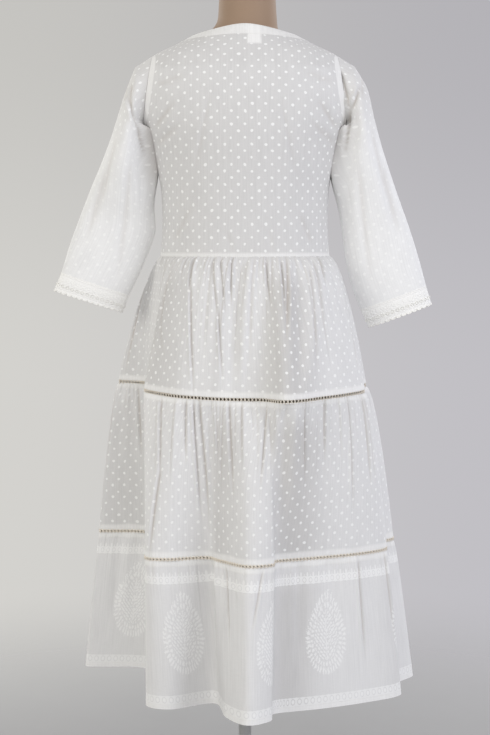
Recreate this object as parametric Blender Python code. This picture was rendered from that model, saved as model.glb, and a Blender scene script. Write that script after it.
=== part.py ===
"""A tiered cotton dress worn by a limbless dress form on a round stand.

Units are metres and +Z is up. The dress's back faces -Y and the stand rests on z = 0.
Each piece of cloth is a closed wall through rows of points worked out from the sizes below.
A turn is an angle about the upright axis: 0 at +X, a quarter turn at the front, +Y.
"""

import math
from typing import NamedTuple

import bmesh
import bpy
from mathutils import Vector

# Thickness of the cloth and the space between neighbouring pieces
CLOTH = 0.0012
FACING = 0.0010
LACE = 0.0014
SEAM_GAP = 0.0003

# Heights above the floor
HEM_Z = 0.300
SEAM_2_Z = 0.551
SEAM_1_Z = 0.816
WAIST_Z = 1.046
UNDERARM_Z = 1.262
SHOULDER_Z = 1.385
NECK_SIDE_Z = 1.418
NAPE_Z = 1.433
FRONT_NECK_Z = 1.310

# Neck and armholes
FACING_WIDTH = 0.022
ARMHOLE_TOP_X = 0.156
ARMHOLE_LOW_X = 0.1725
FACING_DROP = 0.010

# Skirt
INSERT_HEIGHT = 0.0055
SEAM_LIFT = 0.008
SKIRT_COLUMNS = 96

# Grids of the bodice and sleeves
BODICE_COLUMNS = 20
BODICE_LEVELS = (1.080, 1.125, 1.175, 1.220, UNDERARM_Z, 1.290, 1.320, 1.350, SHOULDER_Z)
LABEL_COLUMNS = (9, 12)
LABEL_SHARES = (0.1, 0.8)
SLEEVE_COLUMNS = 18
SCALLOPS = 28
SCALLOP_DEPTH = 0.0035

# Form and stand
FORM_CLEARANCE = 0.0042
FRONT_EASE = 0.0035
FORM_COLUMNS = 28
NECK_SHIFT = 0.004
FORM_BASE_Z = 0.720
NECK_TOP_Z = 1.520
CAP_HEIGHT = 0.014
POLE_RADIUS = 0.011
BASE_RADIUS = 0.160
BASE_THICKNESS = 0.012
HUB_HEIGHT = 0.060
TURNED_COLUMNS = 32


class Section(NamedTuple):
    """A level of the body: its height, half width, and depth behind and before the axis."""

    z: float
    half_width: float
    back: float
    front: float


# The bodice's outer face from waist to neck. Between underarm and shoulder the sides run on
# as if closed, and the armholes are cut back from them.
BODICE = (
    Section(1.046, 0.1445, 0.105, 0.105),
    Section(1.100, 0.1412, 0.107, 0.110),
    Section(1.150, 0.1425, 0.110, 0.118),
    Section(1.200, 0.1510, 0.115, 0.127),
    Section(1.235, 0.1605, 0.118, 0.130),
    Section(1.262, 0.1725, 0.119, 0.129),
    Section(1.290, 0.1830, 0.118, 0.124),
    Section(1.320, 0.1880, 0.115, 0.115),
    Section(1.350, 0.1830, 0.107, 0.104),
    Section(1.370, 0.1710, 0.098, 0.093),
    Section(1.385, 0.1560, 0.090, 0.084),
    Section(1.403, 0.1190, 0.079, 0.072),
    Section(1.418, 0.0900, 0.069, 0.061),
    Section(1.433, 0.0580, 0.060, 0.050),
)

# The dress form below the shoulders, clear of the cloth all round
TORSO = (
    Section(FORM_BASE_Z, 0.118, 0.090, 0.090),
    Section(0.732, 0.130, 0.100, 0.099),
    Section(0.780, 0.139, 0.108, 0.106),
    Section(0.860, 0.142, 0.110, 0.108),
    Section(0.950, 0.134, 0.104, 0.102),
    Section(1.030, 0.125, 0.093, 0.094),
    Section(1.095, 0.126, 0.095, 0.102),
    Section(1.160, 0.131, 0.101, 0.110),
    Section(1.220, 0.144, 0.108, 0.120),
    Section(1.262, 0.154, 0.111, 0.119),
    Section(1.300, 0.157, 0.110, 0.113),
    Section(1.340, 0.156, 0.100, 0.097),
    Section(1.362, 0.153, 0.092, 0.087),
)

# The form's neck, above the shoulders
NECK = (
    Section(1.447, 0.0500, 0.052, 0.045),
    Section(1.479, 0.0480, 0.049, 0.045),
    Section(NECK_TOP_Z, 0.0460, 0.047, 0.044),
)


class Fold(NamedTuple):
    """A ridge or hollow of the skirt, by turn in degrees and reach from the axis.

    The first pair is at the upper lace insertion, the second at the lower one, and the last
    pair at the hem.
    """

    turn_1: float
    reach_1: float
    turn_2: float
    reach_2: float
    turn_hem: float
    reach_hem: float


FOLDS = {
    "right_side": Fold(5.5, 0.210, 8.3, 0.262, 10.8, 0.303),
    "front_right_hollow": Fold(28, 0.190, 30, 0.208, 31, 0.228),
    "front_right_ridge": Fold(50, 0.200, 51, 0.240, 52, 0.274),
    "front_middle_right_hollow": Fold(71, 0.176, 72, 0.186, 72, 0.196),
    "front_middle_ridge": Fold(90, 0.190, 91, 0.224, 91, 0.250),
    "front_middle_left_hollow": Fold(109, 0.172, 110, 0.180, 110, 0.190),
    "front_left_ridge": Fold(127, 0.198, 127, 0.232, 127, 0.262),
    "front_left_hollow": Fold(142, 0.188, 140, 0.205, 138, 0.218),
    "left_side_front_face": Fold(151, 0.216, 150, 0.258, 149.5, 0.284),
    "left_side": Fold(159.5, 0.240, 159.1, 0.280, 159.6, 0.308),
    "left_side_back_face": Fold(161.5, 0.197, 153.5, 0.202, 152.6, 0.209),
    "left_hollow": Fold(172, 0.170, 169, 0.146, 166.5, 0.142),
    "left_turn_in": Fold(188, 0.168, 200, 0.160, 202, 0.160),
    "back_left_edge": Fold(206, 0.186, 219.8, 0.216, 219.7, 0.2148),
    "back_left_ridge": Fold(230, 0.181, 230.5, 0.207, 232.6, 0.204),
    "back_left_hollow": Fold(246, 0.172, 245.4, 0.158, 247.9, 0.138),
    "back_middle_rise": Fold(258, 0.169, 256.4, 0.174, 261.4, 0.208),
    "back_middle_ridge": Fold(271, 0.168, 270.5, 0.216, 270.7, 0.250),
    "back_middle_edge": Fold(280, 0.178, 282.0, 0.210, 280.3, 0.230),
    "back_step": Fold(286, 0.216, 286.2, 0.182, 283.6, 0.195),
    "back_right_panel": Fold(294, 0.220, 299.0, 0.181, 294.0, 0.191),
    "back_right_middle": Fold(306, 0.212, 311.0, 0.190, 308.5, 0.202),
    "back_right_rise": Fold(320, 0.216, 330.0, 0.222, 328.9, 0.236),
    "back_right_edge": Fold(335, 0.220, 344.2, 0.249, 343.6, 0.276),
    "right_hollow": Fold(352, 0.199, 357.0, 0.236, 357.5, 0.262),
}


class Tier(NamedTuple):
    """A gathered tier: its seams, how fast it flares below its gathers, and the gathers."""

    name: str
    top_z: float
    bottom_z: float
    flare: float
    gather: float
    columns_per_wave: int
    rows: tuple


TIERS = (
    Tier("tier_1", WAIST_Z, SEAM_1_Z, 0.58, 0.0026, 2, (0.0, 0.07, 0.20, 0.42, 0.70, 1.0)),
    Tier("tier_2", SEAM_1_Z, SEAM_2_Z, 0.62, 0.0028, 2, (0.0, 0.07, 0.20, 0.42, 0.70, 1.0)),
    Tier("tier_3", SEAM_2_Z, HEM_Z, 0.85, 0.0032, 4, (0.0, 0.09, 0.30, 0.62, 1.0)),
)


class SleeveRing(NamedTuple):
    """A ring of a sleeve: its outer and inner points seen from behind, and its half depth."""

    outer_x: float
    outer_z: float
    inner_x: float
    inner_z: float
    half_depth: float


# Rings of each sleeve below its armhole, the last two being the lace cuff's edges
LEFT_SLEEVE = (
    SleeveRing(0.1860, 1.3660, 0.1755, 1.2565, 0.062),
    SleeveRing(0.2010, 1.3300, 0.1775, 1.2490, 0.066),
    SleeveRing(0.2175, 1.2800, 0.1755, 1.2320, 0.067),
    SleeveRing(0.2310, 1.2390, 0.1730, 1.2080, 0.061),
    SleeveRing(0.2460, 1.2010, 0.1690, 1.1790, 0.052),
    SleeveRing(0.2640, 1.1580, 0.1590, 1.1400, 0.038),
    SleeveRing(0.2835, 1.1100, 0.1530, 1.0960, 0.024),
    SleeveRing(0.3010, 1.0640, 0.1720, 1.0370, 0.021),
    SleeveRing(0.3153, 1.0185, 0.1990, 0.9795, 0.019),
    SleeveRing(0.3285, 0.9872, 0.2112, 0.9499, 0.018),
)
RIGHT_SLEEVE = (
    SleeveRing(0.1860, 1.3670, 0.1755, 1.2565, 0.062),
    SleeveRing(0.2075, 1.3300, 0.1765, 1.2480, 0.065),
    SleeveRing(0.2200, 1.2800, 0.1735, 1.2310, 0.065),
    SleeveRing(0.2310, 1.2400, 0.1685, 1.2060, 0.059),
    SleeveRing(0.2450, 1.1970, 0.1620, 1.1730, 0.049),
    SleeveRing(0.2620, 1.1480, 0.1610, 1.1290, 0.038),
    SleeveRing(0.2810, 1.0960, 0.1680, 1.0720, 0.029),
    SleeveRing(0.2980, 1.0430, 0.1790, 1.0100, 0.026),
    SleeveRing(0.3110, 0.9960, 0.1985, 0.9550, 0.025),
    SleeveRing(0.3210, 0.9638, 0.2132, 0.9242, 0.025),
)

# Base colour, roughness and metallic value of each finish
FINISHES = {
    "cotton": ((0.84, 0.83, 0.81), 0.85, 0.0),
    "lace": ((0.86, 0.83, 0.76), 0.80, 0.0),
    "facing": ((0.90, 0.90, 0.89), 0.85, 0.0),
    "form": ((0.58, 0.45, 0.33), 0.60, 0.0),
    "stand": ((0.72, 0.72, 0.71), 0.35, 0.6),
}


def lerp(start, end, share):
    """Return the value or point that lies a share of the way from start to end."""
    return start + (end - start) * share


def smooth_value(knots, values, at):
    """Read a smooth curve through rising knots that never overshoots its values."""
    steps = [(values[i + 1] - values[i]) / (knots[i + 1] - knots[i]) for i in range(len(knots) - 1)]
    slopes = [steps[0]]
    for before, after in zip(steps, steps[1:]):
        turns = before * after <= 0
        slopes.append(0.0 if turns else 2 * before * after / (before + after))
    slopes.append(steps[-1])
    at = min(max(at, knots[0]), knots[-1])
    i = max(k for k in range(len(knots) - 1) if knots[k] <= at)
    span = knots[i + 1] - knots[i]
    t = (at - knots[i]) / span
    rise = t * t * (3 - 2 * t)
    pull = span * t * (1 - t)
    return lerp(values[i], values[i + 1], rise) + pull * (slopes[i] * (1 - t) - slopes[i + 1] * t)


def section_point(sections, turn, z):
    """Return the point of a body made of sections at a turn and a height."""
    heights = [row.z for row in sections]
    half_width = smooth_value(heights, [row.half_width for row in sections], z)
    side = [row.front if math.sin(turn) > 0 else row.back for row in sections]
    depth = smooth_value(heights, side, z)
    return Vector((half_width * math.cos(turn), depth * math.sin(turn), z))


def half_width_at(z):
    """Return the bodice's half width at a height."""
    return section_point(BODICE, 0.0, z).x


def armhole_x(z):
    """Return the armhole seam's distance from the middle, which is straight seen from behind."""
    return lerp(ARMHOLE_LOW_X, ARMHOLE_TOP_X, (z - UNDERARM_Z) / (SHOULDER_Z - UNDERARM_Z))


def armhole_turn(z):
    """Return how far round from the side the armhole reaches at a height."""
    if not UNDERARM_Z < z < SHOULDER_Z:
        return 0.0
    return math.acos(min(1.0, armhole_x(z) / half_width_at(z)))


def neck_edge_z(turn, spread=0.0):
    """Return the height of the neck edge, or of a line that lies spread away from it."""
    share = spread / FACING_WIDTH
    side_z = NECK_SIDE_Z - FACING_DROP * share
    side_x = half_width_at(side_z)
    if math.sin(turn) <= 0:
        nape_z = NAPE_Z - 1.9 * FACING_DROP * share
        return lerp(side_z, nape_z, math.sin(turn) ** 2)
    low, high = FRONT_NECK_Z - spread, side_z
    drop = high - low
    reach = abs(math.cos(turn))
    for _ in range(40):
        middle = (low + high) / 2
        round_x = side_x * math.sqrt(max(0.0, 1 - ((side_z - middle) / drop) ** 2))
        if round_x > half_width_at(middle) * reach:
            high = middle
        else:
            low = middle
    return (low + high) / 2


def grid_normals(grid, closed):
    """Return the unit normals of a grid whose rows rise and whose columns turn to the left."""
    rows, columns = len(grid), len(grid[0])
    normals = []
    for r in range(rows):
        above, below = grid[min(r + 1, rows - 1)], grid[max(r - 1, 0)]
        line = []
        for c in range(columns):
            if closed:
                after, before = grid[r][(c + 1) % columns], grid[r][c - 1]
            else:
                after, before = grid[r][min(c + 1, columns - 1)], grid[r][max(c - 1, 0)]
            line.append((after - before).cross(above[c] - below[c]).normalized())
        normals.append(line)
    return normals


def level_edges(normals):
    """Make the normals of the first and last row level, so that the seam faces lie flat."""
    for line in (normals[0], normals[-1]):
        for normal in line:
            normal.z = 0.0
            normal.normalize()


def moved_in(grid, normals, distance):
    """Return the grid's points moved against their normals."""
    return [[p - n * distance for p, n in zip(*lines)] for lines in zip(grid, normals)]


def make_object(name, mesh_data, finish):
    """Add a named object of its own material, with its faces pointing out."""
    mesh = bpy.data.meshes.new(name)
    bmesh.ops.recalc_face_normals(mesh_data, faces=mesh_data.faces[:])
    mesh_data.to_mesh(mesh)
    mesh_data.free()
    mesh.shade_smooth()
    mesh.set_sharp_from_angle(angle=math.radians(50))
    colour, roughness, metallic = FINISHES[finish]
    material = bpy.data.materials.new(f"{name}_{finish}")
    material.use_nodes = True
    shader = material.node_tree.nodes["Principled BSDF"]
    shader.inputs["Base Color"].default_value = (*colour, 1.0)
    shader.inputs["Roughness"].default_value = roughness
    shader.inputs["Metallic"].default_value = metallic
    mesh.materials.append(material)
    thing = bpy.data.objects.new(name, mesh)
    bpy.context.scene.collection.objects.link(thing)
    return thing


def make_wall(name, outer, inner, finish, closed=False):
    """Make a closed wall between two equal grids, as a tube where closed is true."""
    mesh_data = bmesh.new()
    outside = [[mesh_data.verts.new(p) for p in line] for line in outer]
    inside = [[mesh_data.verts.new(p) for p in line] for line in inner]
    rows, columns = len(outer), len(outer[0])
    steps = columns if closed else columns - 1
    for grid in (outside, inside):
        for r in range(rows - 1):
            for c in range(steps):
                d = (c + 1) % columns
                mesh_data.faces.new((grid[r][c], grid[r][d], grid[r + 1][d], grid[r + 1][c]))
    for r in (0, rows - 1):
        for c in range(steps):
            d = (c + 1) % columns
            mesh_data.faces.new((outside[r][c], outside[r][d], inside[r][d], inside[r][c]))
    if not closed:
        for c in (0, columns - 1):
            for r in range(rows - 1):
                mesh_data.faces.new(
                    (outside[r][c], outside[r + 1][c], inside[r + 1][c], inside[r][c])
                )
    return make_object(name, mesh_data, finish)


def make_solid(name, rings, finish):
    """Make a solid through rings of points from bottom to top, closed flat at both ends."""
    mesh_data = bmesh.new()
    lines = [[mesh_data.verts.new(p) for p in ring] for ring in rings]
    count = len(lines[0])
    for lower, upper in zip(lines, lines[1:]):
        for c in range(count):
            d = (c + 1) % count
            mesh_data.faces.new((lower[c], lower[d], upper[d], upper[c]))
    mesh_data.faces.new(lines[0])
    mesh_data.faces.new(lines[-1])
    return make_object(name, mesh_data, finish)


def even_turns(count):
    """Return evenly spaced turns round a ring."""
    return [2 * math.pi * i / count for i in range(count)]


def bodice_levels():
    """Return the heights of the bodice's rows along its side, armhole and shoulder edge."""
    return (WAIST_Z + SEAM_GAP / 2, *BODICE_LEVELS, NECK_SIDE_Z - FACING_DROP, NECK_SIDE_Z)


def bodice_grid(front):
    """Return the outer points of the front or back bodice, from waist to neck edge."""
    start = 0.0 if front else math.pi
    levels = bodice_levels()
    grid = []
    for level in levels:
        cut = armhole_turn(level)
        spread = 0.0 if level == levels[-1] else FACING_WIDTH
        side_top = levels[-1] if level == levels[-1] else levels[-2]
        height_share = (level - levels[0]) / (side_top - levels[0])
        line = []
        for c in range(BODICE_COLUMNS + 1):
            share = c / BODICE_COLUMNS
            top = neck_edge_z(start + math.pi * share, spread)
            z = lerp(levels[0], top, height_share)
            # The armhole pushes the columns round, less and less towards the middle
            pushed = cut * (1 - 2 * share) * abs(1 - 2 * share)
            line.append(section_point(BODICE, start + math.pi * share + pushed, z))
        grid.append(line)
    return grid


def bodice_walls():
    """Return the points and normals of the back and front bodice, which share their seams."""
    grids = {"back": bodice_grid(False), "front": bodice_grid(True)}
    normals = {part: grid_normals(grid, False) for part, grid in grids.items()}
    back, front = normals["back"], normals["front"]
    for r, level in enumerate(bodice_levels()):
        if armhole_turn(level) == 0.0:
            for of_back, of_front in ((0, -1), (-1, 0)):
                shared = (back[r][of_back] + front[r][of_front]).normalized()
                back[r][of_back] = shared.copy()
                front[r][of_front] = shared.copy()
    for part, grid in grids.items():
        for normal in normals[part][0]:
            normal.z = 0.0
            normal.normalize()
        away = Vector((0, SEAM_GAP / 2 if part == "front" else -SEAM_GAP / 2, 0))
        for r, level in enumerate(bodice_levels()):
            if armhole_turn(level) == 0.0:
                grid[r][0] += away
                grid[r][-1] += away
    return {part: (grids[part], normals[part]) for part in grids}


def build_bodice():
    """Build the bodice, the facing inside its neck edge and the blank label at the nape."""
    below = CLOTH + SEAM_GAP
    for part, (grid, normals) in bodice_walls().items():
        make_wall(f"bodice_{part}", grid, moved_in(grid, normals, CLOTH), "cotton")
        outer = moved_in(grid[-2:], normals[-2:], below)
        inner = moved_in(grid[-2:], normals[-2:], below + FACING)
        make_wall(f"neck_facing_{part}", outer, inner, "facing")
        if part == "back":
            first, last = LABEL_COLUMNS
            patch = [
                [lerp(low, high, share) for low, high in zip(*(line[first:last] for line in grid[-2:]))]
                for share in LABEL_SHARES
            ]
            lines = [line[first:last] for line in normals[-2:]]
            depth = below + FACING + SEAM_GAP
            outer, inner = moved_in(patch, lines, depth), moved_in(patch, lines, depth + FACING)
            make_wall("label_blank", outer, inner, "facing")


def armhole_ring(side, count):
    """Return the sleeve's first ring, a seam's gap outside the armhole."""
    middle, half = (SHOULDER_Z + UNDERARM_Z) / 2, (SHOULDER_Z - UNDERARM_Z) / 2
    ring = []
    for angle in even_turns(count):
        z = middle + half * math.cos(angle)
        front = math.sin(angle) * side > 0
        point = section_point(BODICE, armhole_turn(z) * (1 if front else -1), z)
        point.x = side * (armhole_x(z) + SEAM_GAP)
        ring.append(point)
    return ring


def sleeve_ring(side, row, count):
    """Return the points of one ring of a sleeve."""
    outer = Vector((side * row.outer_x, 0, row.outer_z))
    inner = Vector((side * row.inner_x, 0, row.inner_z))
    middle, reach = (outer + inner) / 2, (outer - inner) / 2
    depth = Vector((0, side * row.half_depth, 0))
    return [middle + reach * math.cos(a) + depth * math.sin(a) for a in even_turns(count)]


def build_sleeve(name, side, rows):
    """Build one sleeve and its scalloped lace cuff."""
    body, cuff_top, cuff_end = rows[:-2], rows[-2], rows[-1]
    rings = [sleeve_ring(side, row, SLEEVE_COLUMNS) for row in reversed((*body, cuff_top))]
    rings.append(armhole_ring(side, SLEEVE_COLUMNS))
    normals = grid_normals(rings, True)
    flatten_to_ring(rings[0], normals[0])
    # At the armhole the cloth's thickness stays on the sleeve's side of the seam
    for normal in normals[-1]:
        normal.x = 0.0
        normal.normalize()
    inner = moved_in(rings, normals, CLOTH)
    make_wall(f"sleeve_{name}", rings, inner, "cotton", closed=True)

    count = 2 * SCALLOPS
    top, end = sleeve_ring(side, cuff_top, count), sleeve_ring(side, cuff_end, count)
    lower = []
    upper = []
    for i, (high, low) in enumerate(zip(top, end)):
        along = (low - high).normalized()
        lower.append(low - along * SCALLOP_DEPTH * (i % 2))
        upper.append(high + along * SEAM_GAP)
    grid = [lower, upper]
    normals = grid_normals(grid, True)
    for ring, line in ((top, normals[0]), (top, normals[1])):
        flatten_to_ring(ring, line)
    make_wall(f"cuff_lace_{name}", grid, moved_in(grid, normals, LACE), "lace", closed=True)


def flatten_to_ring(ring, normals):
    """Turn normals into the plane of a flat ring, so that the wall's end is flat."""
    middle = sum(ring, Vector()) / len(ring)
    across = (ring[0] - middle).cross(ring[len(ring) // 4] - middle).normalized()
    for normal in normals:
        normal -= across * normal.dot(across)
        normal.normalize()


def fold_point(level, position):
    """Return the plan point of the fold curve at a level, the position counting in folds."""
    def corner(index):
        fold = folds[index % len(folds)]
        turn, reach = fold[2 * level], fold[2 * level + 1]
        return Vector((math.cos(math.radians(turn)), math.sin(math.radians(turn)))) * reach

    folds = list(FOLDS.values())
    i = math.floor(position)
    t = position - i
    before, start, end, after = (corner(i + k) for k in (-1, 0, 1, 2))
    pull = (end - before) / 2 * t * (1 - t) ** 2 - (after - start) / 2 * (1 - t) * t ** 2
    return lerp(start, end, t * t * (3 - 2 * t)) + pull


def skirt_positions():
    """Return positions along the fold curve that are evenly spaced round the hem."""
    steps = 12 * len(FOLDS)
    marks = [len(FOLDS) * i / steps for i in range(steps + 1)]
    points = [fold_point(2, mark) for mark in marks]
    lengths = [0.0]
    for before, after in zip(points, points[1:]):
        lengths.append(lengths[-1] + (after - before).length)
    positions = []
    for column in range(SKIRT_COLUMNS):
        wanted = lengths[-1] * column / SKIRT_COLUMNS
        i = max(k for k in range(steps) if lengths[k] <= wanted)
        positions.append(lerp(marks[i], marks[i + 1], (wanted - lengths[i]) / (lengths[i + 1] - lengths[i])))
    return positions


def skirt_levels():
    """Return the plan rings of the skirt at the waist, the two lace insertions and the hem."""
    positions = skirt_positions()
    rings = [[fold_point(level, position) for position in positions] for level in range(3)]
    first = rings[0][0]
    start = math.atan2(first.y, first.x)
    waist = [section_point(BODICE, start + turn, WAIST_Z).xy for turn in even_turns(SKIRT_COLUMNS)]
    return [waist, *rings]


def seam_lift(seam_z, point):
    """Return how much higher the upper insertion sits at the sides than at the back."""
    if seam_z != SEAM_1_Z:
        return 0.0
    return SEAM_LIFT * (point.x / point.length) ** 2


def plan_normals(ring):
    """Return the outward normals of a plan ring that turns to the left."""
    normals = []
    for i, _ in enumerate(ring):
        along = ring[(i + 1) % len(ring)] - ring[i - 1]
        normals.append(Vector((along.y, -along.x)).normalized())
    return normals


def gathered(ring, tier, fall):
    """Return a plan ring with the tier's gathers, which die out down the tier."""
    strength = tier.gather * min(1.0, 0.5 + 7 * fall) * max(0.0, 1 - fall / 0.8) ** 1.5
    moved = []
    for i, (point, normal) in enumerate(zip(ring, plan_normals(ring))):
        wave = math.cos(2 * math.pi * i / tier.columns_per_wave)
        uneven = 0.75 + 0.25 * math.sin(2.4 * i) * math.cos(0.37 * i)
        moved.append(point + normal * strength * wave * uneven)
    return moved


def split_panels(name, outer, inner, finish):
    """Cut a closed wall at both sides into a front and a back panel."""
    half = SKIRT_COLUMNS // 2
    for part, start in (("front", 0), ("back", half)):
        cut = []
        for grid in (outer, inner):
            lines = []
            for line in grid:
                points = [line[(start + c) % SKIRT_COLUMNS].copy() for c in range(half + 1)]
                points[0] += (points[1] - points[0]).normalized() * SEAM_GAP / 2
                points[-1] += (points[-2] - points[-1]).normalized() * SEAM_GAP / 2
                lines.append(points)
            cut.append(lines)
        make_wall(f"{name}_{part}", cut[0], cut[1], finish)


def build_skirt():
    """Build the three tiers and the two lace insertions between them."""
    levels = skirt_levels()
    for tier, upper, lower in zip(TIERS, levels, levels[1:]):
        grid = []
        for fall in reversed(tier.rows):
            ring = [lerp(a, b, fall ** tier.flare) for a, b in zip(upper, lower)]
            ring = gathered(ring, tier, fall)
            line = []
            for point, a, b in zip(ring, upper, lower):
                top = tier.top_z + seam_lift(tier.top_z, a)
                bottom = tier.bottom_z + seam_lift(tier.bottom_z, b)
                top -= SEAM_GAP / 2 if tier.top_z == WAIST_Z else INSERT_HEIGHT / 2 + SEAM_GAP
                bottom += 0.0 if tier.bottom_z == HEM_Z else INSERT_HEIGHT / 2 + SEAM_GAP
                line.append(Vector((*point, lerp(top, bottom, fall))))
            grid.append(line)
        normals = grid_normals(grid, True)
        level_edges(normals)
        split_panels(tier.name, grid, moved_in(grid, normals, CLOTH), "cotton")

    for number, seam_z in ((1, SEAM_1_Z), (2, SEAM_2_Z)):
        grid = []
        for offset in (-INSERT_HEIGHT / 2, INSERT_HEIGHT / 2):
            heights = [seam_z + seam_lift(seam_z, point) + offset for point in levels[number]]
            grid.append([Vector((*point, z)) for point, z in zip(levels[number], heights)])
        normals = grid_normals(grid, True)
        level_edges(normals)
        split_panels(f"lace_insert_{number}", grid, moved_in(grid, normals, CLOTH), "lace")


def build_form():
    """Build the dress form's torso with its neck, and the plain cap on it."""
    turns = even_turns(FORM_COLUMNS)
    rings = [[section_point(TORSO, t, row.z) for t in turns] for row in TORSO]
    shoulders = [[section_point(BODICE, t, row.z) for t in turns] for row in BODICE[-4:]]
    normals = grid_normals(shoulders, True)
    for ring, line in zip(shoulders, normals):
        eases = [FORM_CLEARANCE + FRONT_EASE * max(0.0, math.sin(t)) for t in turns]
        rings.append([p - n * ease for p, n, ease in zip(ring, line, eases)])
    shift = Vector((NECK_SHIFT, 0, 0))
    rings += [[section_point(NECK, t, row.z) + shift for t in turns] for row in NECK]
    make_solid("form_torso", rings, "form")

    cap = []
    for share, height in ((0.98, 0.0), (1.0, 0.15), (0.97, 0.55), (0.75, 0.88), (0.35, 1.0)):
        z = NECK_TOP_Z + SEAM_GAP + CAP_HEIGHT * height
        points = [section_point(NECK, t, NECK_TOP_Z) for t in turns]
        cap.append([Vector((p.x * share, p.y * share, z)) + shift for p in points])
    make_solid("form_neck_cap", cap, "stand")


def turned_rings(profile):
    """Return rings of a turned piece from (radius, height) pairs, bottom first."""
    turns = even_turns(TURNED_COLUMNS)
    return [[Vector((r * math.cos(t), r * math.sin(t), z)) for t in turns] for r, z in profile]


def build_stand():
    """Build the round base and the pole that carries the form."""
    edge = 0.002
    hub = 2 * POLE_RADIUS
    profile = (
        (BASE_RADIUS - edge, 0.0),
        (BASE_RADIUS, edge),
        (BASE_RADIUS, BASE_THICKNESS - edge),
        (BASE_RADIUS - 2 * edge, BASE_THICKNESS),
        (1.5 * hub, BASE_THICKNESS + edge),
        (hub, BASE_THICKNESS + 4 * edge),
        (hub - edge, HUB_HEIGHT - edge),
        (hub - 2 * edge, HUB_HEIGHT),
    )
    make_solid("stand_base", turned_rings(profile), "stand")
    ends = (HUB_HEIGHT + SEAM_GAP, FORM_BASE_Z - SEAM_GAP)
    make_solid("stand_pole", turned_rings([(POLE_RADIUS, z) for z in ends]), "stand")


def main():
    """Clear the scene and build every piece."""
    for thing in list(bpy.data.objects):
        bpy.data.objects.remove(thing, do_unlink=True)
    build_stand()
    build_form()
    build_bodice()
    build_sleeve("left", -1, LEFT_SLEEVE)
    build_sleeve("right", 1, RIGHT_SLEEVE)
    build_skirt()


main()
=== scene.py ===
"""The looks of a tiered cotton dress that a limbless dress form wears.

Units are metres and +Z is up. The dress's back faces -Y and the stand rests on z = 0.
A turn is an angle about the upright axis: 0 at +X, a quarter turn at the front, +Y.
A column counts round the skirt from its right side seam, 96 to the whole round.
"""

import logging
import math
from dataclasses import dataclass, field
from enum import Enum
from typing import Any, NamedTuple, Optional, Sequence

import bpy
import numpy as np
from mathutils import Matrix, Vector


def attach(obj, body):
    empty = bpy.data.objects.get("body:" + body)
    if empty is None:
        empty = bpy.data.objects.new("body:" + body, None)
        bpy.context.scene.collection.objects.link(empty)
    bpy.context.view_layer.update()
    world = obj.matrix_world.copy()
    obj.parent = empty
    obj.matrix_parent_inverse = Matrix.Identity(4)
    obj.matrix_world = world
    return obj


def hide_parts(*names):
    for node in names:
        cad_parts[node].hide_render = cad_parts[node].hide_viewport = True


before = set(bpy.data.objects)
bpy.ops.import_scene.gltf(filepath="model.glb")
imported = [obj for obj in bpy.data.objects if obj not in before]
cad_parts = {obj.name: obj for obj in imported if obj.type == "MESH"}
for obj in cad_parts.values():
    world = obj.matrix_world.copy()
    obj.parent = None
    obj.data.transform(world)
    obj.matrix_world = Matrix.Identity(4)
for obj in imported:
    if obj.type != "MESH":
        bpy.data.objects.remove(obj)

LOG = logging.getLogger("dress")

# Short names for types. A path is its points and whether it closes
Array = np.ndarray
Colour = tuple[float, float, float]
Path = tuple[Array, bool]
Number = Any
Piece = bpy.types.Object
Finish = bpy.types.Material
Socket = bpy.types.NodeSocket

# Thickness of the shown cloth, the lace and the seams between pieces
CLOTH = 0.0009
LACE = 0.0013
SEAM_GAP = 0.0003

# Heights above the floor
HEM_Z = 0.300
SEAM_2_Z = 0.551
SEAM_1_Z = 0.816
WAIST_Z = 1.046
UNDERARM_Z = 1.262
SHOULDER_Z = 1.385
NECK_SIDE_Z = 1.418
NAPE_Z = 1.433
FRONT_NECK_Z = 1.310

INSERT_HEIGHT = 0.0055

# The lace cuff's depth, the length of one scallop, and how far down its row of rings lies
CUFF_DEPTH = 0.0375
SCALLOP = 0.0091
RING_ROW = 0.0215

# How far stitches stand out of the cloth
STITCH_LIFT = 0.0002

# The columns that creases are placed by, and the points round the skirt's cloth
ROUND = 96
SKIRT_POINTS = 1248


class Section(NamedTuple):
    """A level of the body: its height, half width, and depth behind and before the axis."""

    z: float
    half_width: float
    back: float
    front: float


BODICE = (
    Section(1.046, 0.1445, 0.105, 0.105),
    Section(1.100, 0.1412, 0.107, 0.110),
    Section(1.150, 0.1425, 0.110, 0.118),
    Section(1.200, 0.1510, 0.115, 0.127),
    Section(1.235, 0.1605, 0.118, 0.130),
    Section(1.262, 0.1725, 0.119, 0.129),
    Section(1.290, 0.1830, 0.118, 0.124),
    Section(1.320, 0.1880, 0.115, 0.115),
    Section(1.350, 0.1830, 0.107, 0.104),
    Section(1.370, 0.1710, 0.098, 0.093),
    Section(1.385, 0.1560, 0.090, 0.084),
    Section(1.403, 0.1190, 0.079, 0.072),
    Section(1.418, 0.0900, 0.069, 0.061),
    Section(1.433, 0.0580, 0.060, 0.050),
)

TORSO = (
    Section(0.720, 0.118, 0.090, 0.090),
    Section(0.732, 0.130, 0.100, 0.099),
    Section(0.780, 0.139, 0.108, 0.106),
    Section(0.860, 0.142, 0.110, 0.108),
    Section(0.950, 0.134, 0.104, 0.102),
    Section(1.030, 0.125, 0.093, 0.094),
    Section(1.095, 0.126, 0.095, 0.102),
    Section(1.160, 0.131, 0.101, 0.110),
    Section(1.220, 0.144, 0.108, 0.120),
    Section(1.262, 0.154, 0.111, 0.119),
    Section(1.300, 0.157, 0.110, 0.113),
    Section(1.340, 0.156, 0.100, 0.097),
    Section(1.362, 0.153, 0.092, 0.087),
)

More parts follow.
